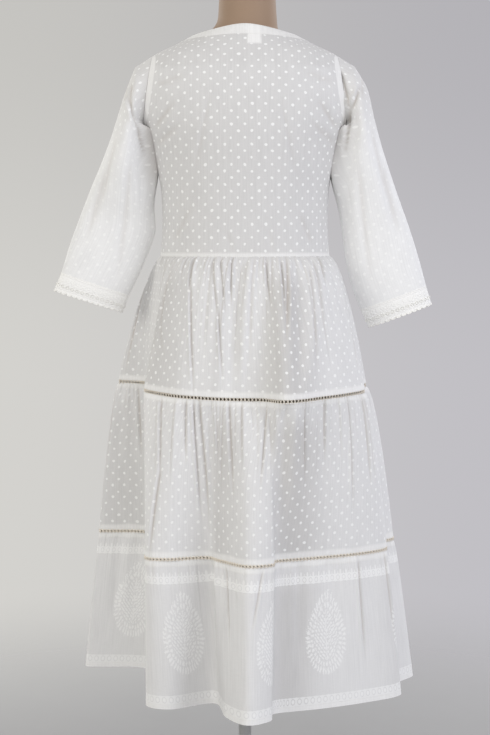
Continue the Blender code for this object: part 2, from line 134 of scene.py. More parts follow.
NECK = (
    Section(1.447, 0.0500, 0.052, 0.045),
    Section(1.479, 0.0480, 0.049, 0.045),
    Section(1.520, 0.0460, 0.047, 0.044),
)


class Fold(NamedTuple):
    """A ridge or hollow of the skirt, by turn in degrees and reach from the axis.

    The first pair is at the upper lace insertion, the second at the lower one, and the last
    pair at the hem.
    """

    turn_1: float
    reach_1: float
    turn_2: float
    reach_2: float
    turn_hem: float
    reach_hem: float


FOLDS = {
    "right_side": Fold(5.5, 0.210, 8.3, 0.262, 10.8, 0.303),
    "front_right_hollow": Fold(28, 0.190, 30, 0.208, 31, 0.228),
    "front_right_ridge": Fold(50, 0.200, 51, 0.240, 52, 0.274),
    "front_middle_right_hollow": Fold(71, 0.176, 72, 0.186, 72, 0.196),
    "front_middle_ridge": Fold(90, 0.190, 91, 0.224, 91, 0.250),
    "front_middle_left_hollow": Fold(109, 0.172, 110, 0.180, 110, 0.190),
    "front_left_ridge": Fold(127, 0.198, 127, 0.232, 127, 0.262),
    "front_left_hollow": Fold(142, 0.188, 140, 0.205, 138, 0.218),
    "left_side_front_face": Fold(151, 0.216, 150, 0.258, 149.5, 0.284),
    "left_side": Fold(159.5, 0.240, 159.1, 0.280, 159.6, 0.308),
    "left_side_back_face": Fold(161.5, 0.197, 153.5, 0.202, 152.6, 0.209),
    "left_hollow": Fold(172, 0.170, 169, 0.146, 166.5, 0.142),
    "left_turn_in": Fold(188, 0.168, 200, 0.160, 202, 0.160),
    "back_left_edge": Fold(206, 0.186, 219.8, 0.216, 219.7, 0.2148),
    "back_left_ridge": Fold(230, 0.181, 230.5, 0.207, 232.6, 0.204),
    "back_left_hollow": Fold(246, 0.172, 245.4, 0.158, 247.9, 0.138),
    "back_middle_rise": Fold(258, 0.169, 256.4, 0.174, 261.4, 0.208),
    "back_middle_ridge": Fold(271, 0.168, 270.5, 0.216, 270.7, 0.250),
    "back_middle_edge": Fold(280, 0.178, 282.0, 0.210, 280.3, 0.230),
    "back_step": Fold(286, 0.216, 286.2, 0.182, 283.6, 0.195),
    "back_right_panel": Fold(294, 0.220, 299.0, 0.181, 294.0, 0.191),
    "back_right_middle": Fold(306, 0.212, 311.0, 0.190, 308.5, 0.202),
    "back_right_rise": Fold(320, 0.216, 330.0, 0.222, 328.9, 0.236),
    "back_right_edge": Fold(335, 0.220, 344.2, 0.249, 343.6, 0.276),
    "right_hollow": Fold(352, 0.199, 357.0, 0.236, 357.5, 0.262),
}


class SleeveRing(NamedTuple):
    """A ring of a sleeve: its outer and inner points seen from behind, and its half depth."""

    outer_x: float
    outer_z: float
    inner_x: float
    inner_z: float
    half_depth: float


# Rings below the armhole, the last two being the lace cuff's edges
LEFT_SLEEVE = (
    SleeveRing(0.1860, 1.3660, 0.1755, 1.2565, 0.062),
    SleeveRing(0.2010, 1.3300, 0.1775, 1.2490, 0.066),
    SleeveRing(0.2175, 1.2800, 0.1755, 1.2320, 0.067),
    SleeveRing(0.2310, 1.2390, 0.1730, 1.2080, 0.061),
    SleeveRing(0.2460, 1.2010, 0.1690, 1.1790, 0.052),
    SleeveRing(0.2640, 1.1580, 0.1590, 1.1400, 0.038),
    SleeveRing(0.2835, 1.1100, 0.1530, 1.0960, 0.024),
    SleeveRing(0.3010, 1.0640, 0.1720, 1.0370, 0.021),
    SleeveRing(0.3153, 1.0185, 0.1990, 0.9795, 0.019),
    SleeveRing(0.3285, 0.9872, 0.2112, 0.9499, 0.018),
)
RIGHT_SLEEVE = (
    SleeveRing(0.1860, 1.3670, 0.1755, 1.2565, 0.062),
    SleeveRing(0.2075, 1.3300, 0.1765, 1.2480, 0.065),
    SleeveRing(0.2200, 1.2800, 0.1735, 1.2310, 0.065),
    SleeveRing(0.2310, 1.2400, 0.1685, 1.2060, 0.059),
    SleeveRing(0.2450, 1.1970, 0.1620, 1.1730, 0.049),
    SleeveRing(0.2620, 1.1480, 0.1610, 1.1290, 0.038),
    SleeveRing(0.2810, 1.0960, 0.1680, 1.0720, 0.029),
    SleeveRing(0.2980, 1.0430, 0.1790, 1.0100, 0.026),
    SleeveRing(0.3110, 0.9960, 0.1985, 0.9550, 0.025),
    SleeveRing(0.3210, 0.9638, 0.2132, 0.9242, 0.025),
)


class Crease(NamedTuple):
    """A crease of a gathered tier.

    It runs from one column and fall (0 at the tier's top seam, 1 at its bottom) to another.
    A positive depth is a hollow with a soft ridge beside it, on the side that lean gives.
    """

    column_1: float
    fall_1: float
    column_2: float
    fall_2: float
    depth: float
    width: float
    lean: int


class ShadeStrip(NamedTuple):
    """An upright strip of painted shade on a tier, for the shaded inside seen through the thin cloth."""

    column: float
    reach: float
    strength: float


class Side(Enum):
    """The wearer's two sides, as signs of X."""

    LEFT = -1
    RIGHT = 1


class Half(Enum):
    """The bodice's two halves, by the turn at which each starts."""

    FRONT = 0.0
    BACK = math.pi


def mixed(start: Any, end: Any, share: Any) -> Any:
    """Return the value that lies a share of the way from start to end."""
    return start + (end - start) * share


def eased(value: Array, low: float, high: float) -> Array:
    """Return a smooth step from 0 at low to 1 at high, which may be below low."""
    t = np.clip((value - low) / (high - low), 0.0, 1.0)
    return t * t * (3 - 2 * t)


class SmoothCurve:
    """A curve through rising knots that never overshoots its values."""

    def __init__(self, knots: Sequence[float], values: Sequence[float]) -> None:
        """Work out the slopes at the knots.

        Args:
            knots: The rising places of the values.
            values: The curve's value at each knot.
        """
        self.knots = np.array(knots, dtype=float)
        self.values = np.array(values, dtype=float)
        steps = np.diff(self.values) / np.diff(self.knots)
        before, after = steps[:-1], steps[1:]
        total = np.where(before * after > 0, before + after, 1.0)
        inner = np.where(before * after > 0, 2 * before * after / total, 0.0)
        self.slopes = np.concatenate([steps[:1], inner, steps[-1:]])

    def __call__(self, at: Any) -> Array:
        """Read the curve at one place or many.

        Args:
            at: The places, which are kept between the first and last knots.

        Returns:
            The curve's value at each.
        """
        at = np.clip(np.asarray(at, dtype=float), self.knots[0], self.knots[-1])
        i = np.clip(np.searchsorted(self.knots, at, side="right") - 1, 0, len(self.knots) - 2)
        span = self.knots[i + 1] - self.knots[i]
        t = (at - self.knots[i]) / span
        rise = t * t * (3 - 2 * t)
        pull = span * t * (1 - t)
        flat = mixed(self.values[i], self.values[i + 1], rise)
        return flat + pull * (self.slopes[i] * (1 - t) - self.slopes[i + 1] * t)


class BodyShape:
    """A body that is an oval at every level, through a table of sections."""

    def __init__(self, rows: Sequence[Section]) -> None:
        """Read the table.

        Args:
            rows: The sections from the lowest up.
        """
        heights = [row.z for row in rows]
        self.half_width = SmoothCurve(heights, [row.half_width for row in rows])
        self.back = SmoothCurve(heights, [row.back for row in rows])
        self.front = SmoothCurve(heights, [row.front for row in rows])

    def points(self, turn: Array, z: Array) -> Array:
        """Return the body's points.

        Args:
            turn: The turns in radians.
            z: The heights, of the same shape.

        Returns:
            An array with a last axis of X, Y and Z.
        """
        turn, z = np.broadcast_arrays(turn, z)
        depth = np.where(np.sin(turn) > 0, self.front(z), self.back(z))
        across = self.half_width(z) * np.cos(turn)
        return np.stack([across, depth * np.sin(turn), z], axis=-1)

    def outside(self, points: Array) -> Array:
        """Measure how far outside the body points lie, level with them.

        Args:
            points: The points, with a last axis of X, Y and Z.

        Returns:
            The distances along the lines from the axis, below 0 inside.
        """
        x, y, z = (points[..., k] for k in range(3))
        reach = np.hypot(x, y)
        depth = np.where(y > 0, self.front(z), self.back(z))
        return reach - 1 / np.sqrt((x / reach / self.half_width(z)) ** 2 + (y / reach / depth) ** 2)


def unit(vectors: Array) -> Array:
    """Return vectors of length 1."""
    return vectors / np.maximum(np.linalg.norm(vectors, axis=-1, keepdims=True), 1e-12)


@dataclass
class ClothGrid:
    """One piece of cloth as rows of points, from its lowest row up and turning to the left.

    Attributes:
        points: Its outer points, by row, column and axis.
        flat: Where each point lies on the flat cloth; a closed grid has one column more.
        closed: True for a tube.
        marks: Values from 0 to 1 at each point that the finishes read, by name.
    """

    points: Array
    flat: Array
    closed: bool = False
    marks: dict[str, Array] = field(default_factory=dict)

    def along(self) -> Array:
        """Measure the way from column to column.

        Returns:
            One column's step at each point, as a vector.
        """
        if self.closed:
            return (np.roll(self.points, -1, axis=1) - np.roll(self.points, 1, axis=1)) / 2
        return np.gradient(self.points, axis=1)

    def normals(self) -> Array:
        """Return the outward normal at each point."""
        return unit(np.cross(self.along(), np.gradient(self.points, axis=0)))

    def push(self, distance: Array) -> None:
        """Move each point along its normal by its own distance."""
        self.points = self.points + self.normals() * distance[..., None]

    def run_across(self) -> Array:
        """Return the metres of cloth per column at each point."""
        return np.linalg.norm(self.along(), axis=-1)

    def area(self) -> float:
        """Measure the outer face.

        Returns:
            Its area in square metres.
        """
        ends = np.roll(self.points, -1, axis=1) if self.closed else self.points[:, 1:]
        starts = self.points if self.closed else self.points[:, :-1]
        across = (ends - starts)[:-1]
        up = np.diff(starts, axis=0)
        return float(np.linalg.norm(np.cross(across, up), axis=-1).sum())

    def shell(self, name: str, thickness: float, material: Finish) -> Piece:
        """Make a thin closed wall whose outer face is the grid.

        Args:
            name: The object's name.
            thickness: The cloth's thickness.
            material: Its finish.

        Returns:
            The new object.
        """
        rows, columns = self.points.shape[:2]
        inner = self.points - self.normals() * thickness
        vertices = np.concatenate([self.points.reshape(-1, 3), inner.reshape(-1, 3)])
        steps = columns if self.closed else columns - 1
        wide = columns + 1 if self.closed else columns
        flat = self.flat.reshape(-1, 2)
        at = np.arange(rows * columns).reshape(rows, columns)
        at = wrapped(at) if self.closed else at
        on = np.arange(rows * wide).reshape(rows, wide)
        under = rows * columns
        quads, places = [], []

        def add(corners: Sequence[tuple[Array, Array]]) -> None:
            """Add faces by their four corners' vertices and flat places."""
            quads.append(np.stack([c[0] for c in corners], axis=-1).reshape(-1, 4))
            places.append(np.stack([c[1] for c in corners], axis=-1).reshape(-1, 4))

        low = (slice(0, rows - 1), slice(0, steps)), (slice(0, rows - 1), slice(1, steps + 1))
        high = (slice(1, rows), slice(0, steps)), (slice(1, rows), slice(1, steps + 1))
        cells = [(at[c], on[c]) for c in (low[0], low[1], high[1], high[0])]
        add(cells)
        add([(v + under, f) for v, f in (cells[0], cells[3], cells[2], cells[1])])
        for row, order in ((0, (0, 2, 3, 1)), (rows - 1, (0, 1, 3, 2))):
            a, b = (row, slice(0, steps)), (row, slice(1, steps + 1))
            rim = [(at[a], on[a]), (at[b], on[b]), (at[a] + under, on[a]), (at[b] + under, on[b])]
            add([rim[k] for k in order])
        if not self.closed:
            for column, order in ((0, (0, 1, 3, 2)), (columns - 1, (0, 2, 3, 1))):
                a, b = (slice(0, rows - 1), column), (slice(1, rows), column)
                rim = [(at[a], on[a]), (at[b], on[b]), (at[a] + under, on[a]), (at[b] + under, on[b])]
                add([rim[k] for k in order])
        marks = {key: np.tile(value.reshape(-1), 2) for key, value in self.marks.items()}
        return make_mesh(name, vertices, np.concatenate(quads), material, flat[np.concatenate(places)], marks)


def placed(name: str, data: bpy.types.ID) -> Piece:
    """Put a new object in the scene.

    Args:
        name: Its name.
        data: Its mesh, light or camera.

    Returns:
        The object.
    """
    thing = bpy.data.objects.new(name, data)
    bpy.context.scene.collection.objects.link(thing)
    return thing


def make_mesh(
    name: str,
    vertices: Array,
    quads: Array,
    material: Finish,
    flat: Optional[Array] = None,
    marks: Optional[dict[str, Array]] = None,
) -> Piece:
    """Make an object from arrays of points and four-sided faces.

    Args:
        name: The object's name.
        vertices: Its points.
        quads: The point numbers of each face.
        material: Its finish.
        flat: The flat place of each face corner.
        marks: Values at each point, by name.

    Returns:
        The new object.
    """
    mesh = bpy.data.meshes.new(name)
    mesh.vertices.add(len(vertices))
    mesh.vertices.foreach_set("co", np.ascontiguousarray(vertices, dtype=np.float32).ravel())
    mesh.loops.add(quads.size)
    mesh.loops.foreach_set("vertex_index", np.ascontiguousarray(quads, dtype=np.int32).ravel())
    mesh.polygons.add(len(quads))
    mesh.polygons.foreach_set("loop_start", np.arange(0, quads.size, 4, dtype=np.int32))
    mesh.update(calc_edges=True)
    if flat is not None:
        layer = mesh.uv_layers.new(name="cloth")
        layer.uv.foreach_set("vector", np.ascontiguousarray(flat, dtype=np.float32).ravel())
    for key, values in (marks or {}).items():
        mark = mesh.attributes.new(key, "FLOAT", "POINT")
        mark.data.foreach_set("value", np.ascontiguousarray(values, dtype=np.float32))
    mesh.materials.append(material)
    mesh.shade_smooth()
    mesh.set_sharp_from_angle(angle=math.radians(70))
    mesh.validate()
    return placed(name, mesh)


def travelled(points: Array, axis: int) -> Array:
    """Return the distance gone along an axis of a grid of points, starting at 0."""
    steps = np.linalg.norm(np.diff(points, axis=axis), axis=-1)
    return np.cumsum(np.insert(steps, 0, 0.0, axis=axis), axis=axis)


def wrapped(points: Array) -> Array:
    """Return a tube's grid with its first column once more at the end."""
    return np.concatenate([points, points[:, :1]], axis=1)


@dataclass
class BodiceShape:
    """The bodice's surface from waist to neck edge, with its armholes cut back.

    Attributes:
        facing_width: How far the neck facing reaches below the neck edge at the front.
        facing_drop: How far it reaches below it at the side of the neck.
        armhole_low_x: The armhole seam's distance from the middle at the underarm.
        armhole_top_x: The same at the shoulder.
        body: The ovals that it follows.
    """

    facing_width: float = 0.022
    facing_drop: float = 0.010
    armhole_low_x: float = 0.1725
    armhole_top_x: float = 0.156
    body: BodyShape = field(default_factory=lambda: BodyShape(BODICE))

    def armhole_x(self, z: Array) -> Array:
        """Return the armhole seam's distance from the middle at a height."""
        share = (z - UNDERARM_Z) / (SHOULDER_Z - UNDERARM_Z)
        return mixed(self.armhole_low_x, self.armhole_top_x, share)

    def armhole_turn(self, z: Array) -> Array:
        """Return how far round from the side the armhole reaches at a height."""
        cut = np.arccos(np.clip(self.armhole_x(z) / self.body.half_width(z), -1.0, 1.0))
        return np.where((z > UNDERARM_Z) & (z < SHOULDER_Z), cut, 0.0)

    def neck_edge_z(self, turn: Array, spread: float) -> Array:
        """Return the height of a line round the neck.

        Args:
            turn: The turns at which to find it.
            spread: How far the line lies below the neck edge at the front.

        Returns:
            The height at each turn.
        """
        share = spread / self.facing_width
        side_z = NECK_SIDE_Z - self.facing_drop * share
        side_x = float(self.body.half_width(side_z))
        nape_z = NAPE_Z - 1.9 * self.facing_drop * share
        behind = mixed(side_z, nape_z, np.sin(turn) ** 2)
        low = np.full_like(turn, FRONT_NECK_Z - spread)
        high = np.full_like(turn, side_z)
        drop = side_z - (FRONT_NECK_Z - spread)
        reach = np.abs(np.cos(turn))
        for _ in range(40):
            middle = (low + high) / 2
            round_x = side_x * np.sqrt(np.maximum(0.0, 1 - ((side_z - middle) / drop) ** 2))
            wider = round_x > self.body.half_width(middle) * reach
            high = np.where(wider, middle, high)
            low = np.where(wider, low, middle)
        return np.where(np.sin(turn) <= 0, behind, (low + high) / 2)


@dataclass
class Bodice:
    """The bodice's back or front with its neck facing, and the blank label at the nape.

    Attributes:
        half: Which half it is.
        shape: The surface that it lies on.
        columns: Columns of points from side to side.
        rows: Rows from the waist to the facing's lower line.
        facing_rows: Rows from there to the neck edge.
    """

    half: Half
    shape: BodiceShape
    columns: int = 150
    rows: int = 84
    facing_rows: int = 9

    def levels(self) -> tuple[Array, Array]:
        """Lay out the rows.

        Returns:
            Each row's height at the side, and how far it has gone up the facing.
        """
        start, line = WAIST_Z + SEAM_GAP / 2, NECK_SIDE_Z - self.shape.facing_drop
        plain = np.linspace(start, line, self.rows)
        # Rows crowd where the armhole's ends turn fast
        share = np.clip((plain - UNDERARM_Z) / (SHOULDER_Z - UNDERARM_Z), 0, 1)
        plain = plain - 0.010 * np.sin(2 * np.pi * share)
        rise = np.linspace(0.0, 1.0, self.facing_rows + 1)[1:]
        facing = mixed(line, NECK_SIDE_Z, rise)
        return np.concatenate([plain, facing]), np.concatenate([np.zeros(self.rows), rise])

    def grid(self) -> ClothGrid:
        """Lay the half bodice's cloth before its creases.

        Returns:
            Its outer face, marked where the cloth is double.
        """
        share = np.linspace(0.0, 1.0, self.columns + 1)
        turn = self.half.value + np.pi * share
        levels, rise = self.levels()
        line = self.shape.neck_edge_z(turn, self.shape.facing_width)
        edge = self.shape.neck_edge_z(turn, 0.0)
        start, side_line = levels[0], NECK_SIDE_Z - self.shape.facing_drop
        height_share = np.minimum((levels - start) / (side_line - start), 1.0)
        z = start + height_share[:, None] * (line - start)[None, :]
        z = z + rise[:, None] * (edge - line)[None, :]
        cut = self.shape.armhole_turn(levels)[:, None]
        pushed = cut * (1 - 2 * share) * np.abs(1 - 2 * share)
        points = self.shape.body.points(turn[None, :] + pushed, z)
        across = travelled(points, 1)
        middle = across[:, self.columns // 2][:, None]
        flat = np.stack([across - middle, travelled(points, 0)], axis=-1)
        doubled = np.repeat(eased(rise, 0.0, 0.12)[:, None], self.columns + 1, axis=1)
        armhole = (levels > UNDERARM_Z) & (levels < SHOULDER_Z)
        edge_run = np.minimum(across, across[:, -1:] - across)
        doubled = np.maximum(doubled, eased(edge_run, 0.0140, 0.0122) * armhole[:, None])
        return ClothGrid(points, flat, marks={"doubled": doubled})


@dataclass
class Sleeve:
    """One sleeve with its lace cuff.

    Attributes:
        side: Which side of the body it is on.
        rings: Its rings from the armhole down, the last two being the cuff's edges.
        shape: The bodice that it is sewn to.
        columns: Columns of points round it.
        rows: Rows of points along it.
        cap_rows: How many of them lie between the first ring and the armhole.
        scallops: Scallops round the cuff.
        scallop_depth: How deep they are.
        slack_reach: How far from the bodice's side slack cloth is drawn in fully, and at all.
        slack_z: The heights at which it starts, and is full.
        rest: How far outside the bodice's side it would lie.
        press: How far it is pressed in past that.
    """

    side: Side
    rings: Sequence[SleeveRing]
    shape: BodiceShape
    columns: int = 144
    rows: int = 96
    cap_rows: int = 8
    scallops: int = 28
    scallop_depth: float = 0.0035
    slack_reach: tuple[float, float] = (0.022, 0.036)
    slack_z: tuple[float, float] = (1.110, 1.205)
    rest: float = 0.0014
    press: float = 0.0040

    def armhole_ring(self, count: int) -> Array:
        """Place points a seam's gap outside the armhole.

        Args:
            count: How many points.

        Returns:
            The points, starting at the shoulder.
        """
        angle = 2 * np.pi * np.arange(count) / count
        middle, half = (SHOULDER_Z + UNDERARM_Z) / 2, (SHOULDER_Z - UNDERARM_Z) / 2
        z = middle + half * np.cos(angle)
        front = np.sin(angle) * self.side.value > 0
        turn = self.shape.armhole_turn(z) * np.where(front, 1, -1)
        points = self.shape.body.points(turn, z)
        points[:, 0] = self.side.value * (self.shape.armhole_x(z) + SEAM_GAP)
        return points

    def ring(self, row: Sequence[float], count: int) -> Array:
        """Return the points of one ring.

        Args:
            row: The five values of a SleeveRing.
            count: How many points.

        Returns:
            The points, starting at the outer one.
        """
        angle = 2 * np.pi * np.arange(count)[:, None] / count
        outer = np.array([self.side.value * row[0], 0.0, row[1]])
        inner = np.array([self.side.value * row[2], 0.0, row[3]])
        depth = np.array([0.0, self.side.value * row[4], 0.0])
        return (outer + inner) / 2 + (outer - inner) / 2 * np.cos(angle) + depth * np.sin(angle)

    def even_ring(self, row: Sequence[float], count: int) -> Array:
        """Return a ring whose points lie the same distance apart.

        Args:
            row: The five values of a SleeveRing.
            count: How many points.

        Returns:
            The points, starting at the outer one.
        """
        fine = self.ring(row, 1440)
        fine = np.concatenate([fine, fine[:1]])
        run = travelled(fine, 0)
        wanted = run[-1] * np.arange(count) / count
        return np.stack([np.interp(wanted, run, fine[:, k]) for k in range(3)], axis=-1)

    def row_at(self, place: Array) -> Array:
        """Return ring values at places counted in rings from the armhole's first."""
        marks = np.arange(len(self.rings))
        return np.stack([SmoothCurve(marks, column)(place) for column in zip(*self.rings)], axis=-1)

    def grid(self) -> ClothGrid:
        """Lay the sleeve's cloth before its creases, from the cuff up.

        Returns:
            Its outer face.
        """
        place = np.linspace(len(self.rings) - 2, 0.0, self.rows - self.cap_rows)
        body = np.stack([self.ring(row, self.columns) for row in self.row_at(place)])
        seam = self.armhole_ring(self.columns)
        steps = np.linspace(0.0, 1.0, self.cap_rows + 1)[1:]
        top = np.stack([mixed(body[-1], seam, step) for step in steps])
        points = np.concatenate([body, top])
        return ClothGrid(points, self.flat_places(points), closed=True)

    def close_underarm(self, cloth: ClothGrid) -> Array:
        """Let the slack cloth under the arm lie against the bodice's side, with painted shade there.

        Args:
            cloth: The sleeve, which is changed and marked.

        Returns:
            How closely each point lies against the side, from 0 to 1.
        """
        x, y, z = (cloth.points[..., k] for k in range(3))
        reach = np.hypot(x, y)
        away = np.maximum(self.shape.body.outside(cloth.points) - self.rest, 0.0)
        out = np.stack([x / reach, y / reach, 0 * z], axis=-1)
        inward = -(cloth.normals() * out).sum(axis=-1)
        share = eased(away, self.slack_reach[1], self.slack_reach[0]) * eased(inward, 0.25, 0.80)
        share = share * eased(z, *self.slack_z) * eased(z, UNDERARM_Z + 0.014, UNDERARM_Z - 0.004)
        cloth.points = cloth.points - out * ((away + self.press) * share * 0.97)[..., None]
        # Painted shade: greyer towards the top of the sleeve, and where the slack lies against the side
        cloth.marks["near"] = np.maximum(0.85 * eased(z, 1.21, 1.33), 0.75 * share)
        return share

    def flat_places(self, points: Array) -> Array:
        """Work out where points lie on the flat sleeve.

        Args:
            points: The sleeve's points.

        Returns:
            How far each lies round from the fold on the inner side, and up.
        """
        run = travelled(wrapped(points), 1)
        middle = run[:, -1:] / 2
        up = travelled(wrapped(points), 0)
        level = np.repeat(up.mean(axis=1, keepdims=True), up.shape[1], axis=1)
        return np.stack([run - middle, mixed(up, level, 0.35)], axis=-1)

    def cuff_grid(self) -> ClothGrid:
        """Lay the lace cuff, whose lower edge is scalloped.

        Returns:
            Its outer face, flat places counting scallops round and metres down.
        """
        count = 10 * self.scallops
        top = self.even_ring(self.rings[-2], count)
        end = self.even_ring(self.rings[-1], count)
        along = unit(end - top)
        wave = np.abs(np.sin(np.pi * np.arange(count) / count * self.scallops)) ** 0.6
        low = end - along * (self.scallop_depth * (1 - wave))[:, None]
        high = top - along * 0.0004
        share = np.linspace(1.0, 0.0, 26)[:, None, None]
        points = mixed(high[None], low[None], share)
        turn = np.arange(count + 1) / 10.0
        drop = travelled(wrapped(points)[::-1], 0)[::-1]
        flat = np.stack([np.broadcast_to(turn, drop.shape), drop], axis=-1)
        return ClothGrid(points, flat, closed=True)


class FoldCurve:
    """The skirt's plan curves at the waist, the two insertions and the hem."""

    def __init__(self, columns: int) -> None:
        """Space the columns evenly round the hem.

        Args:
            columns: How many there are.
        """
        self.columns = columns
        self.folds = np.array(list(FOLDS.values()), dtype=float)
        steps = 12 * len(self.folds)
        marks = len(self.folds) * np.arange(steps + 1) / steps
        lengths = travelled(self.point(2, marks), 0)
        wanted = lengths[-1] * np.arange(columns) / columns
        self.positions = np.interp(wanted, lengths, marks)

    def point(self, level: int, position: Array) -> Array:
        """Return plan points on the fold curve.

        Args:
            level: 0 and 1 for the insertions, 2 for the hem.
            position: Places counted in folds.

        Returns:
            The X and Y of each.
        """
        turn = np.radians(self.folds[:, 2 * level])
        corners = np.stack([np.cos(turn), np.sin(turn)], axis=-1) * self.folds[:, 2 * level + 1, None]
        i = np.floor(position).astype(int)
        t = (position - i)[:, None]
        before, start, end, after = (corners[(i + k) % len(corners)] for k in (-1, 0, 1, 2))
        pull = (end - before) / 2 * t * (1 - t) ** 2 - (after - start) / 2 * (1 - t) * t**2
        return mixed(start, end, t * t * (3 - 2 * t)) + pull

    def rings(self) -> list[Array]:
        """Draw the skirt's plan at each seam.

        Returns:
            The rings' points, from the waist down.
        """
        rings = [self.point(level, self.positions) for level in range(3)]
        start = math.atan2(rings[0][0][1], rings[0][0][0])
        turn = start + 2 * np.pi * np.arange(self.columns) / self.columns
        waist = BodyShape(BODICE).points(turn, np.full_like(turn, WAIST_Z))[:, :2]
        return [waist, *rings]


def seam_lift(seam_z: float, plan: Array) -> Array:
    """Return how much higher the upper insertion sits at the sides than at the back."""
    rise = 0.008 if seam_z == SEAM_1_Z else 0.0
    return rise * (plan[:, 0] / np.linalg.norm(plan, axis=1)) ** 2


def form_painted_shade(points: Array) -> Array:
    """Return how much painted shade the form behind the thin cloth gives it, from 0 to 1."""
    away = np.where(points[..., 2] > TORSO[-1].z, FormShape.clearance, BodyShape(TORSO).outside(points))
    return 0.62 * np.exp(-((away / 0.026) ** 2)) * eased(points[..., 2], TORSO[0].z - 0.01, TORSO[0].z + 0.03)


@dataclass
class Tier:
    """One gathered tier of the skirt.

    Attributes:
        name: Its name, as in the solids.
        level: Which of the plan rings it starts from.
        top_z: Height of its upper seam.
        bottom_z: Height of its lower seam or hem.
        flare: How fast it widens below its gathers.
        gather: Height of the main gathers.
        waves: How many main gathers there are round it.
        creases: Its listed creases.
        fine: How many small gathers there are round it.
        seed: Seed of the small gathers.
        shade_strips: Upright strips of painted shade, for the shaded inside seen through the cloth.
        bunched: Cloth taken up in the deep fold behind the middle, which moves the print.
        bunch_run: Where round the hem that starts, is full, begins to end and ends.
        slack: How long and deep its small gathers are, 1 for the first tier's.
        rows: Rows of points.
        columns: Columns of points round it.
    """

    name: str
    level: int
    top_z: float
    bottom_z: float
    flare: float
    gather: float
    waves: int
    creases: Sequence[Crease]
    fine: int
    seed: int
    shade_strips: Sequence[ShadeStrip] = ()
    bunched: float = 0.0
    bunch_run: tuple[float, ...] = (1.33, 1.49, 1.535, 1.595)
    slack: float = 1.0
    rows: int = 32
    columns: int = SKIRT_POINTS

    def fall(self) -> Array:
        """Return how far down each row lies, bottom row first and denser near the top."""
        return np.linspace(1.0, 0.0, self.rows)[:, None] ** 1.2

    def column(self) -> Array:
        """Return each column's place, counted as the creases' are."""
        return ROUND * np.arange(self.columns)[None] / self.columns

    def base_grid(self, rings: Sequence[Array]) -> ClothGrid:
        """Return the tier without gathers.

        Args:
            rings: The plan rings from the waist down.

        Returns:
            The grid, with its flat places.
        """
        upper, lower = rings[self.level], rings[self.level + 1]
        fall = self.fall()
        plan = mixed(upper[None], lower[None], (fall**self.flare)[..., None])
        top = self.top_z + seam_lift(self.top_z, upper)
        bottom = self.bottom_z + seam_lift(self.bottom_z, lower)
        top = top - (SEAM_GAP / 2 if self.level == 0 else INSERT_HEIGHT / 2 + SEAM_GAP)
        bottom = bottom + (0.0 if self.bottom_z == HEM_Z else INSERT_HEIGHT / 2 + SEAM_GAP)
        z = mixed(top[None], bottom[None], fall)
        points = np.concatenate([plan, z[..., None]], axis=-1)
        own = travelled(wrapped(points), 1)
        across = mixed(own * own[0, -1] / own[:, -1:], own[:1], 0.1)
        fold = eased(across, *self.bunch_run[:2]) - eased(across, *self.bunch_run[2:])
        across = across - self.bunched * fold
        down = travelled(points[::-1], 0)[::-1].mean(axis=1)
        flat = np.stack([across, np.broadcast_to(down[:, None], across.shape)], axis=-1)
        return ClothGrid(points, flat, closed=True)

    def main_gathers(self) -> Array:
        """Lay the main gathers.

        Returns:
            Their height at each point.
        """
        fall, column = self.fall(), self.column()
        strength = self.gather * np.minimum(1.0, 0.5 + 7 * fall) * np.maximum(0.0, 1 - fall / 0.8) ** 1.5
        uneven = 0.75 + 0.25 * np.sin(2.4 * column) * np.cos(0.37 * column)
        return strength * uneven * np.cos(2 * np.pi * column * self.waves / ROUND)

    def crease_height(self, crease: Crease, run: Array) -> tuple[Array, Array]:
        """Return how far a crease moves each point out.

        Args:
            crease: The crease.
            run: The metres of cloth per column of the 96, at each point.

        Returns:
            The distance at each point, mostly below 0, and the painted shade along its line.
        """
        fall, column = self.fall(), self.column()
        share = (fall - crease.fall_1) / (crease.fall_2 - crease.fall_1)
        centre = mixed(crease.column_1, crease.column_2, np.clip(share, -0.2, 1.2))
        away = (column - centre + ROUND / 2) % ROUND - ROUND / 2
        s = away * run / crease.width
        hollow = -np.exp(-(s**2))
        ridge = 0.7 * np.exp(-((s - 1.7 * crease.lean) ** 2) / 1.2)
        fade = eased(share, -0.04, 0.10) * eased(share, 1.10, 0.55)
        # How much painted shade the crease's line gets: more for deep, narrow creases
        line = min(1.0, crease.depth / 0.0030) * eased(np.array(crease.width), 0.006, 0.0036)
        return crease.depth * (hollow + ridge) * fade, line * np.exp(-((s / 0.62) ** 2)) * fade

    def grid(self, rings: Sequence[Array]) -> ClothGrid:
        """Return the tier's outer face with all its gathers and creases.

        Args:
            rings: The plan rings from the waist down.

        Returns:
            The finished grid.
        """
        cloth = self.base_grid(rings)
        run = cloth.run_across() * self.columns / ROUND
        height, mark = self.main_gathers(), np.zeros(cloth.points.shape[:2])
        for crease in (*self.creases, *self.small_gathers()):
            push, line = self.crease_height(crease, run)
            height, mark = height + push, np.maximum(mark, line)
        # Painted shade along the creases' lines
        cloth.marks["crease"] = mark
        # The seams stay on the insertions' lines
        fall = self.fall()
        height = height * np.where(self.level == 0, eased(fall, -0.02, 0.02), eased(fall, -0.02, 0.03))
        if self.bottom_z != HEM_Z:
            height = height * eased(fall, 1.0, 0.93)
        cloth.push(height)
        if self.level == 0:
            # The gathered edge turns in and up behind the bodice's lower edge
            cloth.points[-1, :, 2] += 0.0030
            cloth.points[-1] -= cloth.normals()[-1] * 0.0016
        # Painted shade where the form and the shaded inside show through the thin cloth
        cloth.marks["near"] = np.maximum(form_painted_shade(cloth.points), self.shade_strip_marks())
        cloth.marks["doubled"] = np.zeros(cloth.points.shape[:2])
        return cloth

